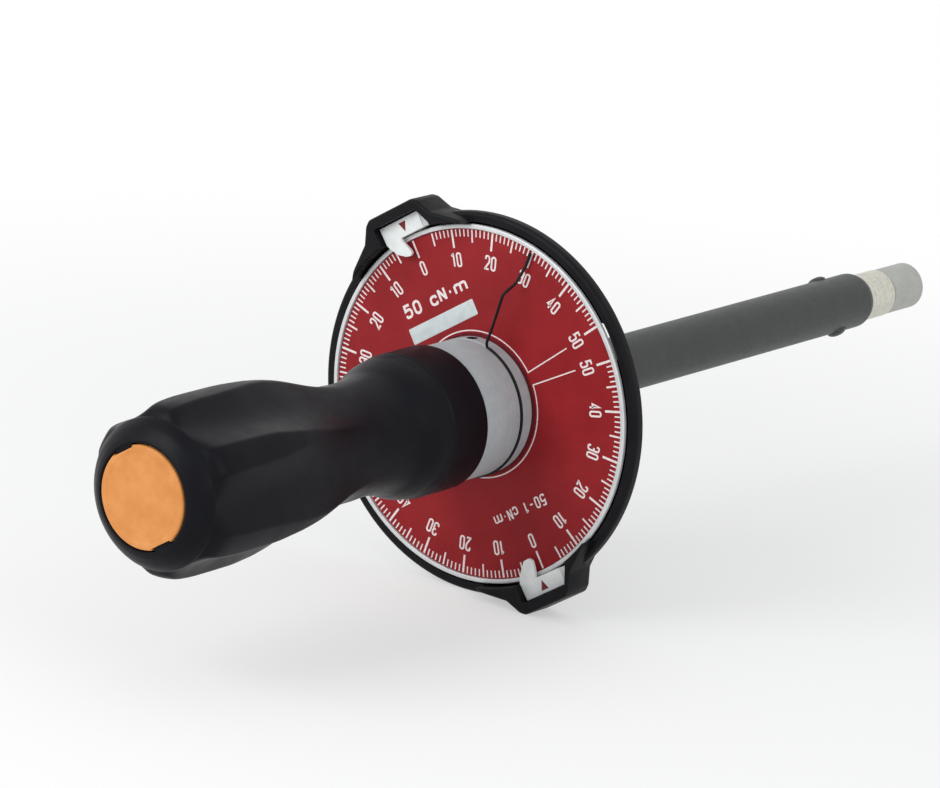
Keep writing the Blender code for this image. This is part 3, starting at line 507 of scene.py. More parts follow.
def scale_look():
    """The red of the scale: lacquered sheet with a fine orange peel and a slight cloud."""
    look = Look("scale_red")
    cloud = look.span(look.noise(11.0, 5.0, 0.62), 0.0, 1.0, 0.34, 0.66)
    speck = look.span(look.noise(0.35, 3.0, 0.7), 0.0, 0.35, 0.45, 0.7)
    colour = look.mix(cloud, tone(138, 31, 36), tone(152, 37, 41))
    colour = look.mix(speck, colour, tone(126, 27, 33))
    look.set(Base_Color=colour, Roughness=look.span(look.noise(4.0, 5.0, 0.65), 0.4, 0.52))
    look.set(Specular_IOR_Level=0.12)
    look.bump(look.noise(0.5, 2.0), 0.004, 0.5)
    return look


def index_look():
    """White moulded plastic that lets a little light through."""
    look = Look("index_white")
    cloud = look.span(look.noise(1.8, 4.0, 0.6), 0.0, 1.0, 0.34, 0.66)
    colour = look.mix(cloud, tone(224, 227, 226), tone(234, 237, 236))
    look.set(Base_Color=colour, Roughness=look.span(look.noise(0.9, 4.0), 0.34, 0.48))
    look.set(Subsurface_Weight=0.12, Subsurface_Radius=(1.0, 0.9, 0.8), Subsurface_Scale=0.0006)
    look.set(Specular_IOR_Level=0.45)
    look.bump(look.noise(0.3, 2.0), 0.005, 0.5)
    return look


def wear(item, look):
    """Gives an object one material in all its slots."""
    material = LOOKS[look].material
    slots = item.material_slots
    if len(slots) == 0:
        item.data.materials.append(material)
    for one in slots:
        one.link = "OBJECT" if item.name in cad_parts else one.link
        one.material = material
    return item


# ---------------------------------------------------------------- grip

def monotone(xs, ys, at):
    """A smooth curve through the points that doesn't overshoot. xs rises."""
    xs, ys = np.array(xs, float), np.array(ys, float)
    gaps, rises = np.diff(xs), np.diff(ys)
    slopes = rises / gaps
    ends = np.zeros_like(xs)
    for k in range(1, len(xs) - 1):
        if slopes[k - 1] * slopes[k] > 0:
            one, two = 2 * gaps[k] + gaps[k - 1], gaps[k] + 2 * gaps[k - 1]
            ends[k] = (one + two) / (one / slopes[k - 1] + two / slopes[k])
    ends[0], ends[-1] = slopes[0], slopes[-1]
    k = np.clip(np.searchsorted(xs, at) - 1, 0, len(gaps) - 1)
    t = (at - xs[k]) / gaps[k]
    h00, h10 = 2 * t**3 - 3 * t**2 + 1, t**3 - 2 * t**2 + t
    h01, h11 = -2 * t**3 + 3 * t**2, t**3 - t**2
    return h00 * ys[k] + h10 * gaps[k] * ends[k] + h01 * ys[k + 1] + h11 * gaps[k] * ends[k + 1]


def eased(start, end, shares):
    """Points from start to end at these shares of the way along and across."""
    return [(start[0] + a * (end[0] - start[0]), start[1] + b * (end[1] - start[1])) for a, b in shares]


# (station, radius) of the turned outline: the rear edge of the band, the waist, the dome's edge and the lip.
BAND, WAIST = (-26.0, 15.0), (-42.35, 11.7)
DOME = (-101.2, 15.2)
LIP = (GRIP_REAR, CAP_RADIUS + 1.0)
FLUTES = 6
FLUTE_PHASE = math.radians(-1)
FLUTE_BLEND = 0.34
FLUTE_END = -45.5
FLUTE_FADE = 7  # the length before FLUTE_END in which the blend fades out
# (station, floor radius, half width in degrees) along a flute
FLUTE_RUN = [
    (-101.2, 15.1, 20.5), (-92.0, 15.05, 21.0), (-82.0, 14.85, 22.0), (-76.0, 14.55, 24.5), (-69.0, 13.95, 27.0),
    (-62.0, 13.1, 29.0), (-55.0, 12.2, 29.8), (-49.0, 11.85, 29.9), (FLUTE_END, 11.9, 29.9),
]


def grip_radius(station):
    """The grip's outer radius before the flutes, from its rear lip to its front band."""
    body = eased(BAND, WAIST, [
        (0, 0), (0.03, 0.082), (0.1, 0.105), (0.21, 0.17), (0.37, 0.42), (0.55, 0.76), (0.76, 0.93), (1, 1)
    ])
    body += [
        (-46.0, 11.85), (-50.0, 12.4), (-54.3, 13.3), (-58.0, 14.3), (-62.5, 15.55), (-66.0, 16.4), (-70.0, 17.1),
        (-75.0, 17.6), (-82.0, 17.8), (-92.0, 17.75), (-96.5, 17.5), (-98.8, 17.1), (-100.2, 16.4), DOME,
    ]
    dome = [DOME] + eased(DOME, LIP, [(0.08, 0.02), (0.3, 0.16), (0.55, 0.37), (0.78, 0.65), (0.93, 0.87), (1, 1)])
    body, dome = body[::-1], dome[::-1]
    made = np.where(
        station < DOME[0],
        monotone([p[0] for p in dome], [p[1] for p in dome], station),
        monotone([p[0] for p in body], [p[1] for p in body], np.maximum(station, DOME[0])),
    )
    return np.where(station > BAND[0], BAND[1], made)


def flute_radius(station, angle, base):
    """Where a flute's floor lies, at an angle from the flute's middle. Far out where there is no flute."""
    where = [run[0] for run in FLUTE_RUN]
    floor = monotone(where, [run[1] for run in FLUTE_RUN], station)
    half = np.radians(monotone(where, [run[2] for run in FLUTE_RUN], station))
    depth = np.clip(base - floor, 0, None)
    return base - depth * (1 - (angle / half) ** 2)


def smooth_least(one, two, blend):
    """The smaller of two values, with the corner between them rounded."""
    share = np.clip(0.5 + 0.5 * (two - one) / blend, 0, 1)
    return two + share * (one - two) - blend * share * (1 - share)


def make_grip():
    """The handle with its flutes and the cap's pocket, and a tab for each notch of the cap."""
    turns = 384
    stations = np.concatenate([
        np.linspace(GRIP_REAR + 0.3, -101.6, 18), np.linspace(-101.4, -96.0, 46), np.linspace(-95.6, -56, 80),
        np.linspace(-55.6, -44, 36), np.linspace(-43.6, -26.7, 30), [-26.4, -26.2, -26.0, -25.8, -21.0, -16.0],
    ])
    angles = np.arange(turns) * 2 * math.pi / turns
    grid_y, grid_a = np.meshgrid(stations, angles, indexing="ij")
    base = grip_radius(grid_y)
    pitch = 2 * math.pi / FLUTES
    off = (grid_a - FLUTE_PHASE + pitch / 2) % pitch - pitch / 2
    blend = FLUTE_BLEND * np.clip((FLUTE_END - grid_y) / FLUTE_FADE, 0.01, 1)
    radius = smooth_least(base, flute_radius(grid_y, off, base), blend)
    radius = np.where(grid_y < DOME[0], base, radius)
    radius = np.where(grid_y > FLUTE_END, base, radius)
    rows = list(zip(grid_y, radius))
    front = rounded([(-16.0, BAND[1]), (GRIP_FRONT, BAND[1], 0.3), (GRIP_FRONT, 14.0)], closed=False)[1:]
    pocket, floor = CAP_RADIUS + 0.3, GRIP_REAR + 2.9
    inner = front + [
        (GRIP_FRONT, BORE_RADIUS), (-90.0, BORE_RADIUS), (-90.0, CAP_SEAT_RADIUS), (floor, CAP_SEAT_RADIUS),
        (floor, pocket), (GRIP_REAR + 0.25, pocket), (GRIP_REAR + 0.05, pocket + 0.08), (GRIP_REAR, pocket + 0.25),
        (GRIP_REAR + 0.02, LIP[1] - 0.2), (GRIP_REAR + 0.12, LIP[1] - 0.02),
    ]
    rows += [(np.full(turns, y), np.full(turns, r)) for y, r in inner]
    shape = bmesh.new()
    rings = [
        [shape.verts.new((r * math.sin(a) * MM, y * MM, r * math.cos(a) * MM)) for y, r, a in zip(ys, rs, angles)]
        for ys, rs in rows
    ]
    skin(shape, rings, closed=True)
    item = add_object("grip_skin", finish_mesh(shape, "grip_skin"), "grip", ("grip",))
    smooth(wear(item, "grip"), 40)
    for side, name in ((1, "upper"), (-1, "lower")):
        outline = rounded([
            (-2.3, side * 9.6, 0.3), (2.3, side * 9.6, 0.3), (2.3, side * 11.2), (-2.3, side * 11.2)
        ])
        tab = add_object(
            f"grip_tab_{name}", prism_mesh("tab", outline, GRIP_REAR + 0.2, GRIP_REAR + 2.95), "grip"
        )
        smooth(wear(bevel(tab, 0.15), "grip"))


def make_cap():
    """The orange cap: a shallow disc with a soft edge and a notch on each side."""
    rear, face = GRIP_REAR - 0.3, GRIP_REAR + 2.6
    plug = CAP_SEAT_RADIUS - 0.3
    profile = rounded([
        (face + 0.4, 0), (face + 0.4, plug - 1.6, 0.2), (face + 3.6, plug - 1.6), (face + 3.6, plug, 0.3),
        (face, plug), (face, CAP_RADIUS), (rear, CAP_RADIUS, 0.45), (rear, CAP_RADIUS - 1.2, 0.3),
        (rear + 0.12, CAP_RADIUS - 1.5, 0.3), (rear + 0.12, 0),
    ], closed=False)
    item = add_object("cap_disc", lathe_mesh("cap_disc", profile, 160), "grip", ("grip_cap",))
    for side in (1, -1):
        outline = [(-2.6, side * 9.63), (2.6, side * 9.63), (2.6, side * 13), (-2.6, side * 13)]
        cut(item, prism_mesh("notch", outline, rear - 1, face + 0.05))
    smooth(wear(item, "cap"))


# ---------------------------------------------------------------- collar and dial

def make_collar():
    """The silver ring with the pointer's groove, and its set screw."""
    rear, front = GRIP_FRONT + 0.3, FACE + 0.34
    r, low = COLLAR_RADIUS, COLLAR_RADIUS - 0.4
    profile = rounded([
        (front, r - 0.7), (-0.1, r - 0.7), (-0.1, r, 0.08), (GROOVE + 0.37, r, 0.06), (GROOVE + 0.37, low, 0.1),
        (GROOVE - 0.37, low, 0.1), (GROOVE - 0.37, r, 0.06), (rear, r, 0.35), (rear, BORE_RADIUS, 0.2),
        (front, BORE_RADIUS),
    ])
    item = add_object("collar_ring", lathe_mesh("collar_ring", profile, 192), "grip", ("collar",))
    angle = math.radians(28.5)
    cut(item, lathe_mesh("hole", [(3, 0), (3, 1.2), (-3, 1.2), (-3, 0)], 32), outward(angle, r, COLLAR_SCREW))
    smooth(wear(item, "collar"))
    body = rounded([(0, 0), (0, 1.15), (7.98, 1.15, 0.15), (7.98, 0)], closed=False)
    add_screw(
        "set_screw_skin", "collar_set_screw", "grip", lathe_mesh("set_screw", body, 32),
        outward(angle, BORE_RADIUS, COLLAR_SCREW), (0.62, 6.7, 9.0), "oxide",
    )


def make_dial():
    """The metal dial and its three screws, the red sheet, and a dark red ring under the sheet's hole that paints the
    shade of the gap between sheet and collar.
    """
    rear, screw_circle = 2.0, 10.15
    profile = rounded([
        (rear, BORE_RADIUS), (rear, 36.1, 0.2), (0.9, DIAL_RADIUS, 0.3), (0, DIAL_RADIUS, 0.3),
        (0, RIM_INNER_RADIUS, 0.15), (FACE + 0.55, RIM_INNER_RADIUS), (FACE + 0.55, BORE_RADIUS),
    ])
    item = add_object("dial_rim", lathe_mesh("dial_rim", profile, 256), "grip", ("dial_plate",))
    for k in range(3):
        angle = math.radians(60 + 120 * k)
        spot = (screw_circle * math.sin(angle), screw_circle * math.cos(angle))
        sink = [(rear + 1, 0), (rear + 1, 2.0), (rear - 0.15, 2.0), (rear - 0.65, 1.2), (-1, 1.2), (-1, 0)]
        cut(item, lathe_mesh("sink", sink, 32, spot))
        head = rounded([
            (rear, 0), (rear, 1.7, 0.1), (rear - 0.75, 0.9), (rear - 7, 0.9, 0.15), (rear - 7, 0)
        ], closed=False)
        screw = add_object(
            f"dial_screw_skin_{k + 1}", lathe_mesh("screw", head, 40, spot), "grip",
            (f"dial_screw_{k + 1}",),
        )
        cut(screw, prism_mesh("recess", polygon(6, 0.7, angle, spot), rear - 0.6, rear + 1))
        smooth(wear(screw, "steel"))
    smooth(wear(item, "rim"))
    sheet = rounded([
        (FACE + 0.35, GAP_RADIUS), (FACE + 0.35, SHEET_RADIUS), (FACE, SHEET_RADIUS, 0.06),
        (FACE, GAP_RADIUS, 0.05),
    ])
    item = add_object("scale_sheet", lathe_mesh("scale_sheet", sheet, 256), "grip", ("scale_face",))
    smooth(wear(item, "scale"))
    # The ring under the sheet's hole is painted shade: a dark red ring stands for the shadow in the gap between
    # sheet and collar.
    near, far, inner, outer = FACE + 0.36, FACE + 0.5, BORE_RADIUS + 0.2, GAP_RADIUS - 0.02
    gap_shade = lathe_mesh("collar_gap_shade_ring", [(far, inner), (far, outer), (near, outer), (near, inner)], 192)
    smooth(wear(add_object("collar_gap_shade_ring", gap_shade, "grip"), "mark"))


# ---------------------------------------------------------------- print on the dial

# Print stands off the scale and reaches into it. A letter's strokes are stepped, so that no faces coincide.
PRINT_RAISE, PRINT_SINK, STROKE_STEP = 0.025, 0.01, 0.006
# Degrees for each unit, and how much further from the zero the photo shows ticks and numbers.
UNIT_TURN, TICK_SHIFT, NUMBER_SHIFT = 1.68, 0.1, 0.3
# (units, inner radius, width) of ticks: the first whose units divide the value
TICKS = ((10, 32.5, 0.48), (5, 33.6, 0.38), (1, 34.8, 0.3))
ZERO_TICK_WIDTH = 0.46
NUMERALS = {"height": 3.1, "wide": 1.35, "stroke": 0.4, "gap": 0.22}
# The framing line's start and sweep in degrees, and the radii of its arc and of its arms' ends
FRAMING_START, FRAMING_SWEEP, FRAMING_STEPS = 95.2, 349.7, 140
FRAMING_ARC, FRAMING_ARM = 15.35, 26.9


def on_dial(angle, distance):
    """Takes (u, v, h) of a small drawing onto the dial: v points outward, h stands off the scale."""
    s, c = math.sin(angle), math.cos(angle)

    def at(u, v, h):
        r = distance + v
        return Vector((r * s + u * c, FACE - h, r * c - u * s)) * MM
    return at


def ribbon(shape, points, width, at, closed=False, raised=PRINT_RAISE):
    """A flat stroke of this width along a line, with mitred corners, as a thin closed solid."""
    points = [Vector(p) for p in points]
    count = len(points)
    left, right = [], []
    for k, point in enumerate(points):
        way_in = (point - points[k - 1]).normalized() if closed or k > 0 else None
        way_out = (points[(k + 1) % count] - point).normalized() if closed or k < count - 1 else way_in
        if way_in is None:
            way_in = way_out
        side = (way_in + way_out).normalized()
        side = Vector((-side.y, side.x))
        lean = max(0.5, side.dot(Vector((-way_in.y, way_in.x))))
        reach = width / 2 / lean
        left.append(point + side * reach)
        right.append(point - side * reach)
    rows = []
    for one, two in zip(left, right):
        rows.append([
            shape.verts.new(at(one.x, one.y, raised)), shape.verts.new(at(two.x, two.y, raised)),
            shape.verts.new(at(two.x, two.y, -PRINT_SINK)), shape.verts.new(at(one.x, one.y, -PRINT_SINK)),
        ])
    skin(shape, rows, closed)


def strokes(character, w, h):
    """A character's centre lines in a box of width w and height h: (points, closed) pairs."""
    r = 0.46 * w
    x = 0.68 * h
    shapes = {
        "0": [([(0, 0, r), (w, 0, r), (w, h, r), (0, h, r)], True)],
        "1": [([(0.1 * w, 0.8 * h), (0.6 * w, h, 0.05), (0.6 * w, 0)], False)],
        "2": [([(0, 0.74 * h), (0, h, r), (w, h, r), (w, 0.56 * h, r), (0, 0.02 * h, 0.05), (0, 0), (w, 0)], False)],
        "3": [
            ([(0, 0.78 * h), (0, h, r), (w, h, r), (w, 0.54 * h, 0.6 * r), (0.35 * w, 0.54 * h)], False),
            ([(0.35 * w, 0.54 * h), (w, 0.54 * h, 0.6 * r), (w, 0, r), (0, 0, r), (0, 0.22 * h)], False),
        ],
        "4": [([(0.72 * w, 0), (0.72 * w, h), (0, 0.28 * h), (w * 1.05, 0.28 * h)], False)],
        "5": [([
            (0.95 * w, h), (0.06 * w, h), (0, 0.56 * h), (0.3 * w, 0.62 * h, 0.2), (w, 0.62 * h, r), (w, 0, r),
            (0, 0, r), (0, 0.2 * h),
        ], False)],
        "c": [([(w, 0.7 * x), (w, x, r), (0, x, r), (0, 0, r), (w, 0, r), (w, 0.3 * x)], False)],
        "N": [([(0, 0), (0, h)], False), ([(0, 0.97 * h), (w, 0.03 * h)], False), ([(w, 0), (w, h)], False)],
        "m": [
            ([(0, 0), (0, x)], False),
            ([(0, 0.7 * x), (0.15 * w, x, 0.3 * r), (w, x, 0.6 * r), (w, 0)], False),
            ([(w, 0.7 * x), (1.15 * w, x, 0.3 * r), (2 * w, x, 0.6 * r), (2 * w, 0)], False),
        ],
        ".": [([(0.1 * w, 0.42 * h), (0.4 * w, 0.42 * h)], False)],
        "-": [([(0.1 * w, 0.45 * h), (0.9 * w, 0.45 * h)], False)],
    }
    return shapes[character]


def advance(character, w):
    """How far a character moves the line on, before the gap."""
    return {"1": 0.85, "m": 2.0, ".": 0.5, " ": 0.7}.get(character, 1.0) * w


def write(shape, text, at, height, wide, stroke, gap):
    """Letters in strokes, centred on the drawing's origin."""
    w, h = wide - stroke, height - stroke
    total = sum(advance(c, w) for c in text) + (gap + stroke) * (len(text) - 1)
    start = -total / 2
    for character in text:
        if character != " ":
            for k, (points, closed) in enumerate(strokes(character, w, h)):
                line = [(u + start, v - h / 2) for u, v in rounded(points, closed, 22)]
                ribbon(shape, line, stroke, at, closed, PRINT_RAISE + STROKE_STEP * k)
        start += advance(character, w) + gap + stroke


def make_prints():
    """All print on the scale as one thin solid, and the bare label."""
    shape = bmesh.new()
    for zero in (0, 180):
        for sense in (1, -1):
            for value in range(5, 51):
                angle = math.radians(zero + sense * (value * UNIT_TURN + TICK_SHIFT))
                inner, width = next(tick[1:] for tick in TICKS if value % tick[0] == 0)
                ribbon(shape, [(0, inner), (0, TICK_RADIUS)], width, on_dial(angle, 0))
            for value in (10, 20, 30, 40, 50):
                angle = math.radians(zero + sense * (value * UNIT_TURN + NUMBER_SHIFT))
                write(shape, str(value), on_dial(angle, 30.0), **NUMERALS)
        at_zero = math.radians(zero)
        ribbon(shape, [(0, TICKS[0][1]), (0, TICK_RADIUS)], ZERO_TICK_WIDTH, on_dial(at_zero, 0))
        write(shape, "0", on_dial(at_zero, 30.2), **NUMERALS)
    # The framing line: an arc round the collar, open between the 50s, with an arm beside each of them.
    step = FRAMING_SWEEP / FRAMING_STEPS
    turn = [math.radians(FRAMING_START + k * step) for k in range(FRAMING_STEPS + 1)]
    radii = [FRAMING_ARM] + [FRAMING_ARC] * len(turn) + [FRAMING_ARM]
    turn = [turn[0]] + turn + [turn[-1]]
    lines = [(r * math.sin(a), r * math.cos(a)) for r, a in zip(radii, turn)]
    ribbon(shape, lines, 0.26, lambda u, v, h: Vector((u, FACE - h, v)) * MM)
    write(shape, "50 cN.m", on_dial(0, 23.6), height=3.0, wide=2.1, stroke=0.56, gap=0.5)
    write(shape, "50-1 cN.m", on_dial(math.pi, 23.5), height=2.5, wide=1.3, stroke=0.36, gap=0.35)
    item = add_object("scale_print", finish_mesh(shape, "scale_print"), "grip")
    wear(item, "print")
    corners = rounded([(-9.7, 16.7, 0.3), (8.9, 16.7, 0.3), (8.9, 20.1, 0.3), (-9.7, 20.1, 0.3)])
    label = prism_mesh("dial_label", corners, FACE - 0.06, FACE + 0.02)
    smooth(wear(bevel(add_object("dial_label", label, "grip"), 0.03, 2), "label"))


# ---------------------------------------------------------------- pointer

def make_pointer():
    """The wire pointer: an open ring in the collar's groove, an arm that kinks down, and a tip on the scale."""
    ring, angle, sweep = 14.4, math.radians(50.4), math.radians(305)
    path = [(ring, angle + sweep * (1 - k / 120), GROOVE) for k in range(121)]
    # (radius, turn, station) along the arm
    keys = [
        (ring, 0.0, GROOVE), (14.65, -0.010, -3.55), (15.1, -0.018, -3.7), (16.0, -0.012, -4.0), (19.4, 0.0, -4.3),
        (26.2, 0.0, -4.65), (27.1, 0.0, -4.5), (27.8, 0.0, -3.7), (29.0, 0.0, -1.8), (29.8, 0.0, -1.25),
        (32.2, 0.0, -0.35), (33.2, 0.0, -0.05), (36.0, 0.0, 0.0),
    ]
    for k in range(1, len(keys)):
        points = [Vector(keys[min(max(j, 0), len(keys) - 1)]) for j in (k - 2, k - 1, k, k + 1)]
        for s in range(1, 7):
            t = s / 6
            spot = 0.5 * (
                2 * points[1] + (points[2] - points[0]) * t
                + (2 * points[0] - 5 * points[1] + 4 * points[2] - points[3]) * t**2
                + (3 * points[1] - points[0] - 3 * points[2] + points[3]) * t**3
            )
            path.append((spot.x, angle + spot.y, spot.z))
    curve = bpy.data.curves.new("pointer", "CURVE")
    curve.dimensions = "3D"
    curve.bevel_depth = 0.3 * MM
    curve.bevel_resolution = 3
    curve.use_fill_caps = True
    spline = curve.splines.new("POLY")
    spline.points.add(len(path) - 1)
    for point, (r, a, y) in zip(spline.points, path):
        point.co = (r * math.sin(a) * MM, y * MM, r * math.cos(a) * MM, 1)
    made = new_object("pointer_curve", curve)
    mesh = baked(made)
    bpy.data.objects.remove(made, do_unlink=True)
    bpy.data.curves.remove(curve)
    item = add_object("pointer_wire", mesh, "pointer", ("memory_pointer",))
    smooth(wear(item, "wire"), 50)


# ---------------------------------------------------------------- index frame

def ear_outline(side):
    """An ear's outline. The lower ear is a little narrower on its +x side."""
    half = [(6.2, 43.8, 1.5), (7.49, 42.89, 1.5), (9.6, 39.6, 1.2), (15.0, 35.9, 4.0), (16.9, 33.6), (12.0, 33.0)]
    trim = 0.0 if side > 0 else 1.2
    outline = [(x - trim, z, *rest) for x, z, *rest in half] + [(-x, z, *rest) for x, z, *rest in reversed(half)]
    return rounded([(x, side * z, *rest) for x, z, *rest in outline])


def make_frame():
    """The black frame: a shallow dish with a hub on the tube, two windows, and an ear over each zero."""
    profile = rounded([
        (12.4, HUB_BORE_RADIUS, 0.2), (12.4, 10.5, 0.6), (4.4, 10.5, 1.0), (4.4, 38.8, 1.1), (3.1, RING_RADIUS, 1.1),
        (0.7, RING_RADIUS, 0.9), (0.7, 34.0), (1.4, 34.0), (1.4, HUB_BORE_RADIUS),
    ])
    item = add_object("frame_skin", lathe_mesh("frame_skin", profile, 256), "driver", ("index_frame",))
    for side in (1, -1):
        ear = helper(prism_mesh("ear", ear_outline(side), -3.0, 5.0))
        bevel(ear, 0.6, 4, 60)
        combine(item, ear, "UNION")
    room = rounded([
        (2.4, 0), (2.4, 38.0), (-2.7, 38.0, 0.3), (-3.1, 38.35), (-4.0, 38.35), (-4.0, 0)
    ], closed=False)
    # The slight phase keeps the cutter's corners off those of the dish.
    cut(item, lathe_mesh("room", room, 256, phase=0.01))
    outline = rounded([
        (-5.8, -41.5, 0.5), (6.35, -41.5, 0.5), (8.4, -37.8), (8.4, 37.8), (6.35, 41.5, 0.5), (-5.8, 41.5, 0.5)
    ])
    cut(item, prism_mesh("pocket", outline, -4.0, 1.5))
    for side in (1, -1):
        x0, x1 = sorted((side * 16.0, side * 37.3))
        outline = rounded([(x0, -4.5, 2.5), (x1, -4.5, 2.5), (x1, 4.5, 2.5), (x0, 4.5, 2.5)])
        cut(item, prism_mesh("window", outline, 1.0, 6.0))
    hole = lathe_mesh("hole", [(6, 0), (6, 1.3), (-2, 1.3), (-2, 0)], 32)
    cut(item, hole, outward(math.pi / 2, 7.0, HUB_SCREW))
    smooth(wear(item, "frame"))
    screw = lathe_mesh("hub_screw", rounded([(0, 0), (0, 1.0), (3.8, 1.0, 0.2), (3.8, 0)], closed=False), 32)
    add_screw(
        "hub_screw_skin", "hub_set_screw", "driver", screw, outward(math.pi / 2, HUB_BORE_RADIUS, HUB_SCREW),
        (0.55, 2.6, 5.0), "black_steel",
    )


# (x, z, rounding) of each finger, from the block's -x end to its own root
FINGERS = {
    "index_upper": [
        (-5.3, 37.6), (-4.8, 36.5, 1.0), (-3.3, 34.7, 1.0), (-1.7, 33.7, 1.0), (-0.5, 33.4, 0.4), (0.15, 33.8, 0.3),
        (0.05, 34.5, 0.5), (-0.7, 36.1, 2.0), (-1.2, 37.62, 0.2),
    ],
    "index_lower": [
        (-5.7, 37.3), (-4.8, 35.7, 1.0), (-2.6, 33.5, 0.6), (-1.2, 33.35, 0.5), (-0.5, 34.1, 0.5), (-0.7, 35.7, 1.5),
        (-1.4, 37.62, 0.2),
    ],
}


def make_index(name, side, mark):
    """A white index: a block with one slanted end in the ear's pocket, a finger over the scale, and a red mark."""
    front = [(5.5, 37.62, 0.1), (5.5, 41.2, 0.25), (-5.5, 41.2, 0.25)] + FINGERS[name]
    outline = rounded([(x, side * z, *rest) for x, z, *rest in front])
    item = add_object(name + "_skin", prism_mesh(name, outline, -1.3, -0.6), "driver", (name,))
    block = [(-5.5, 37.62), (5.5, 37.62), (5.5, 41.2), (-5.5, 41.2)]
    rear = helper(prism_mesh("rear", rounded([(x, side * z, 0.25) for x, z in block]), -0.8, 1.2))
    combine(item, rear, "UNION")
    shape = bmesh.new()
    near = [(5.3, -1.28), (8.0, 0.62), (8.0, 1.2), (5.3, 1.2)]
    far = [(5.3, -1.28), (6.1, -0.72), (6.1, 1.2), (5.3, 1.2)]
    ends = [
        [shape.verts.new((x * MM, y * MM, side * z * MM)) for x, y in corners]
        for z, corners in ((37.7, near), (41.15, far))
    ]
    skin(shape, ends)
    combine(item, helper(finish_mesh(shape, "slant")), "UNION")
    bevel(item, 0.12, 3, 50)
    smooth(wear(item, "index"))
    shape = bmesh.new()
    corners = [(mark - 1.0, side * 40.55), (mark + 1.0, side * 40.55), (mark, side * 38.45)]
    skin(shape, [[shape.verts.new(Vector((x, y, z)) * MM) for x, z in corners] for y in (-1.325, -1.29)])
    wear(add_object(name + "_mark", finish_mesh(shape, "mark"), "driver"), "mark")


# ---------------------------------------------------------------- tube and bit end

def make_tube():
    """The tube and the two domed screws near its end."""
    profile = rounded([
        (TUBE_END, 5.1, 0.1), (TUBE_END, 5.5, 0.25), (TUBE_END - 1.5, TUBE_RADIUS, 1.6), (3.3, TUBE_RADIUS, 0.2),
        (3.3, 5.1),
    ])
    item = add_object("tube_skin", lathe_mesh("tube_skin", profile, 128), "driver", ("tube",))
    for side in (0, math.pi):
        hole = lathe_mesh("hole", [(8, 0), (8, 2.2), (5.55, 2.2), (5.55, 1.5), (0.5, 1.5), (0.5, 0)], 48)
        cut(item, hole, outward(side, 0, TUBE_SCREW))
    smooth(wear(item, "tube"))
    seat, top = 5.6, 6.85
    profile = rounded([
        (seat - 4, 0), (seat - 4, 1.2), (seat, 1.2), (seat, 2.1), (6.2, 2.1, 0.3), (6.65, 1.5, 0.8), (top, 0.9, 0.5),
        (top, 0),
    ], closed=False)
    for side, name in ((0, "upper"), (math.pi, "lower")):
        add_screw(
            f"tube_screw_skin_{name}", f"tube_screw_{name}", "driver", lathe_mesh("screw", profile, 48),
            outward(side, 0, TUBE_SCREW), (0.9, 6.2, 8.0), "screw",
        )


def make_bit_end():
    """The bit holder with its hexagon socket, and the sleeve on it."""
    profile = rounded([
        (HOLDER_END, 0), (HOLDER_END, 4.3, 0.2), (147.9, 4.3, 0.1), (147.9, 5.25, 0.35), (138.8, 5.25, 0.2),
        (138.8, 4.8), (118.0, 4.8, 0.3), (118.0, 1.9), (137.3, 1.9), (137.3, 0),
    ], closed=False)
    item = add_object("holder_skin", lathe_mesh("holder_skin", profile, 128), "driver", ("bit_holder",))
    corner = 6.35 / 2 / math.cos(math.pi / 6)
    cut(item, prism_mesh("hex", polygon(6, corner, math.pi / 6), HOLDER_END - 16, 161.0))
    cut(item, lathe_mesh("funnel", [(159.0, 0), (159.0, 3.15), (159.75, 4.0), (160.5, 4.0), (160.5, 0)], 64))
    cut(item, lathe_mesh("ball_hole", [(6, 0), (6, 0.95), (0, 0.95), (0, 0)], 32), outward(0, 0, 153.5))
    for side in (0, math.pi):
        hole = lathe_mesh("hole", [(8, 0), (8, 1.5), (0.5, 1.5), (0.5, 0)], 32)
        cut(item, hole, outward(side, 0, TUBE_SCREW))
    smooth(wear(item, "neck"))
    profile = rounded([
        (159.3, 4.6, 0.1), (159.3, 5.1, 0.4), (148.2, 5.1, 0.3), (148.2, 4.6, 0.1), (149.8, 4.6), (150.0, 4.8),
        (152.0, 4.8), (152.2, 4.6),
    ])
    sleeve = lathe_mesh("sleeve_skin", profile, 128)
    smooth(wear(add_object("sleeve_skin", sleeve, "chuck", ("chuck_sleeve",)), "sleeve"))


def dress_inner_nodes():
    """The pieces inside keep their CAD mesh and get their finish."""
    finishes = {
        "grip_nut": "steel", "grip_washer": "steel", "drive_dowel": "steel", "spindle": "steel",
        "torsion_bar": "spring", "bar_pin": "steel", "journal_clip": "black_steel", "rear_bush": "bronze",
        "front_bush": "bronze", "detent_ball": "steel",
    }
    for name, look in finishes.items():
        wear(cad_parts[name], look)


# ---------------------------------------------------------------- stage, light and camera

WHITE = (1, 1, 1, 1)
WORLD_LIGHT = (0.67, 0.68, 0.69, 1)
FLOOR_COLOUR = (0.94, 0.94, 0.94, 1)
FLOOR_RADIUS = 6.0
FLOOR_FADE = {"From Min": 0.10, "From Max": 0.34, "To Min": 0.45, "To Max": 1.0}


def seen_directly(tree):
    """1 for camera, glossy and transmission rays."""
    rays = add_node(tree, "ShaderNodeLightPath").outputs
    total = rays["Is Camera Ray"]
    for key in ("Is Glossy Ray", "Is Transmission Ray"):
        total = add_node(tree, "ShaderNodeMath", {0: total, 1: rays[key]}, operation="MAXIMUM").outputs[0]
    return total


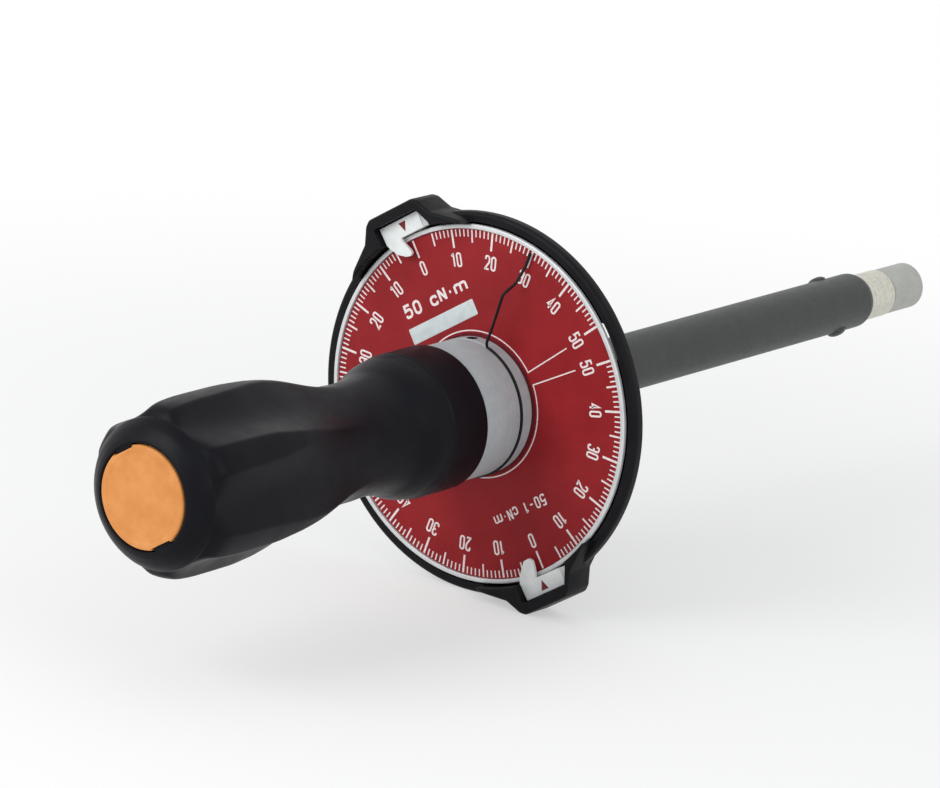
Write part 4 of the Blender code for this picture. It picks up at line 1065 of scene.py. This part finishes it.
def make_stage():
    """A white world that lights the object with a softer grey, and a pale floor that fades into it."""
    world = bpy.data.worlds.new("studio")
    bpy.context.scene.world = world
    world.use_nodes = True
    tree = world.node_tree
    tree.nodes.clear()
    light, shown = [
        add_node(tree, "ShaderNodeBackground", {"Color": colour, "Strength": 1.0}).outputs[0]
        for colour in (WORLD_LIGHT, WHITE)
    ]
    mixer = add_node(tree, "ShaderNodeMixShader", {0: seen_directly(tree), 1: light, 2: shown})
    add_node(tree, "ShaderNodeOutputWorld", {"Surface": mixer.outputs[0]})

    shape = bmesh.new()
    bmesh.ops.create_circle(shape, cap_ends=True, segments=96, radius=FLOOR_RADIUS)
    mesh = bpy.data.meshes.new("floor")
    shape.to_mesh(mesh)
    shape.free()
    floor = new_object("floor", mesh)
    material = bpy.data.materials.new("floor_pale")
    material.use_nodes = True
    tree = material.node_tree
    shader = tree.nodes["Principled BSDF"]
    for key, value in (("Base Color", FLOOR_COLOUR), ("Roughness", 0.9), ("Specular IOR Level", 0.0)):
        shader.inputs[key].default_value = value
    place = add_node(tree, "ShaderNodeTexCoord").outputs["Object"]
    length = add_node(tree, "ShaderNodeVectorMath", {0: place}, operation="LENGTH").outputs["Value"]
    fade = add_node(tree, "ShaderNodeMapRange", {"Value": length, **FLOOR_FADE}, interpolation_type="SMOOTHSTEP")
    share = add_node(
        tree, "ShaderNodeMath", {0: fade.outputs["Result"], 1: seen_directly(tree)}, operation="MULTIPLY"
    ).outputs[0]
    glow = add_node(tree, "ShaderNodeEmission", {"Color": WHITE, "Strength": 1.0}).outputs[0]
    mixer = add_node(tree, "ShaderNodeMixShader", {0: share, 1: shader.outputs[0], 2: glow})
    tree.links.new(mixer.outputs[0], tree.nodes["Material Output"].inputs["Surface"])
    mesh.materials.append(material)


# The camera's axes, place and lens, found by fitting the dial's rim and the tube to the photo.
RIGHT = Vector((0.7895, 0.6087, 0.0781))
UP = Vector((-0.2246, 0.1684, 0.9598))
BACK = Vector((0.5710, -0.7753, 0.2697))
CAMERA_PLACE = (0.6898, -0.9662, 0.3685)
CAMERA_LENS = 226
LIT_SPOT = Vector((0, -0.03, 0.04))


def make_camera():
    data = bpy.data.cameras.new("camera")
    data.lens = CAMERA_LENS
    data.sensor_width = 36
    data.clip_start = 0.05
    camera = new_object("camera", data)
    turn = Matrix((RIGHT, UP, BACK)).transposed().to_4x4()
    camera.matrix_world = Matrix.Translation(CAMERA_PLACE) @ turn
    bpy.context.scene.camera = camera


def add_lamp(name, spot, size, energy):
    """A soft square lamp at this place from the lit spot, in metres, turned to it."""
    data = bpy.data.lights.new(name, "AREA")
    data.shape = "SQUARE"
    data.size = size
    data.energy = energy
    lamp = new_object(name, data)
    spot = Vector(spot)
    turn = (-spot).to_track_quat("-Z", "Y").to_matrix().to_4x4()
    lamp.matrix_world = Matrix.Translation(LIT_SPOT + spot) @ turn


def make_light():
    add_lamp("key", (-0.22, -0.56, 0.36), size=0.42, energy=2.2)
    add_lamp("fill", (0.95, -0.25, 0.55), size=0.7, energy=1.6)


make_looks()
make_camera()
make_grip()
make_cap()
make_collar()
make_dial()
make_prints()
make_pointer()
make_frame()
make_index("index_upper", 1, 0.7)
make_index("index_lower", -1, 0.0)
make_tube()
make_bit_end()
dress_inner_nodes()
make_stage()
make_light()

scene = bpy.context.scene
scene.view_settings.view_transform = "Standard"
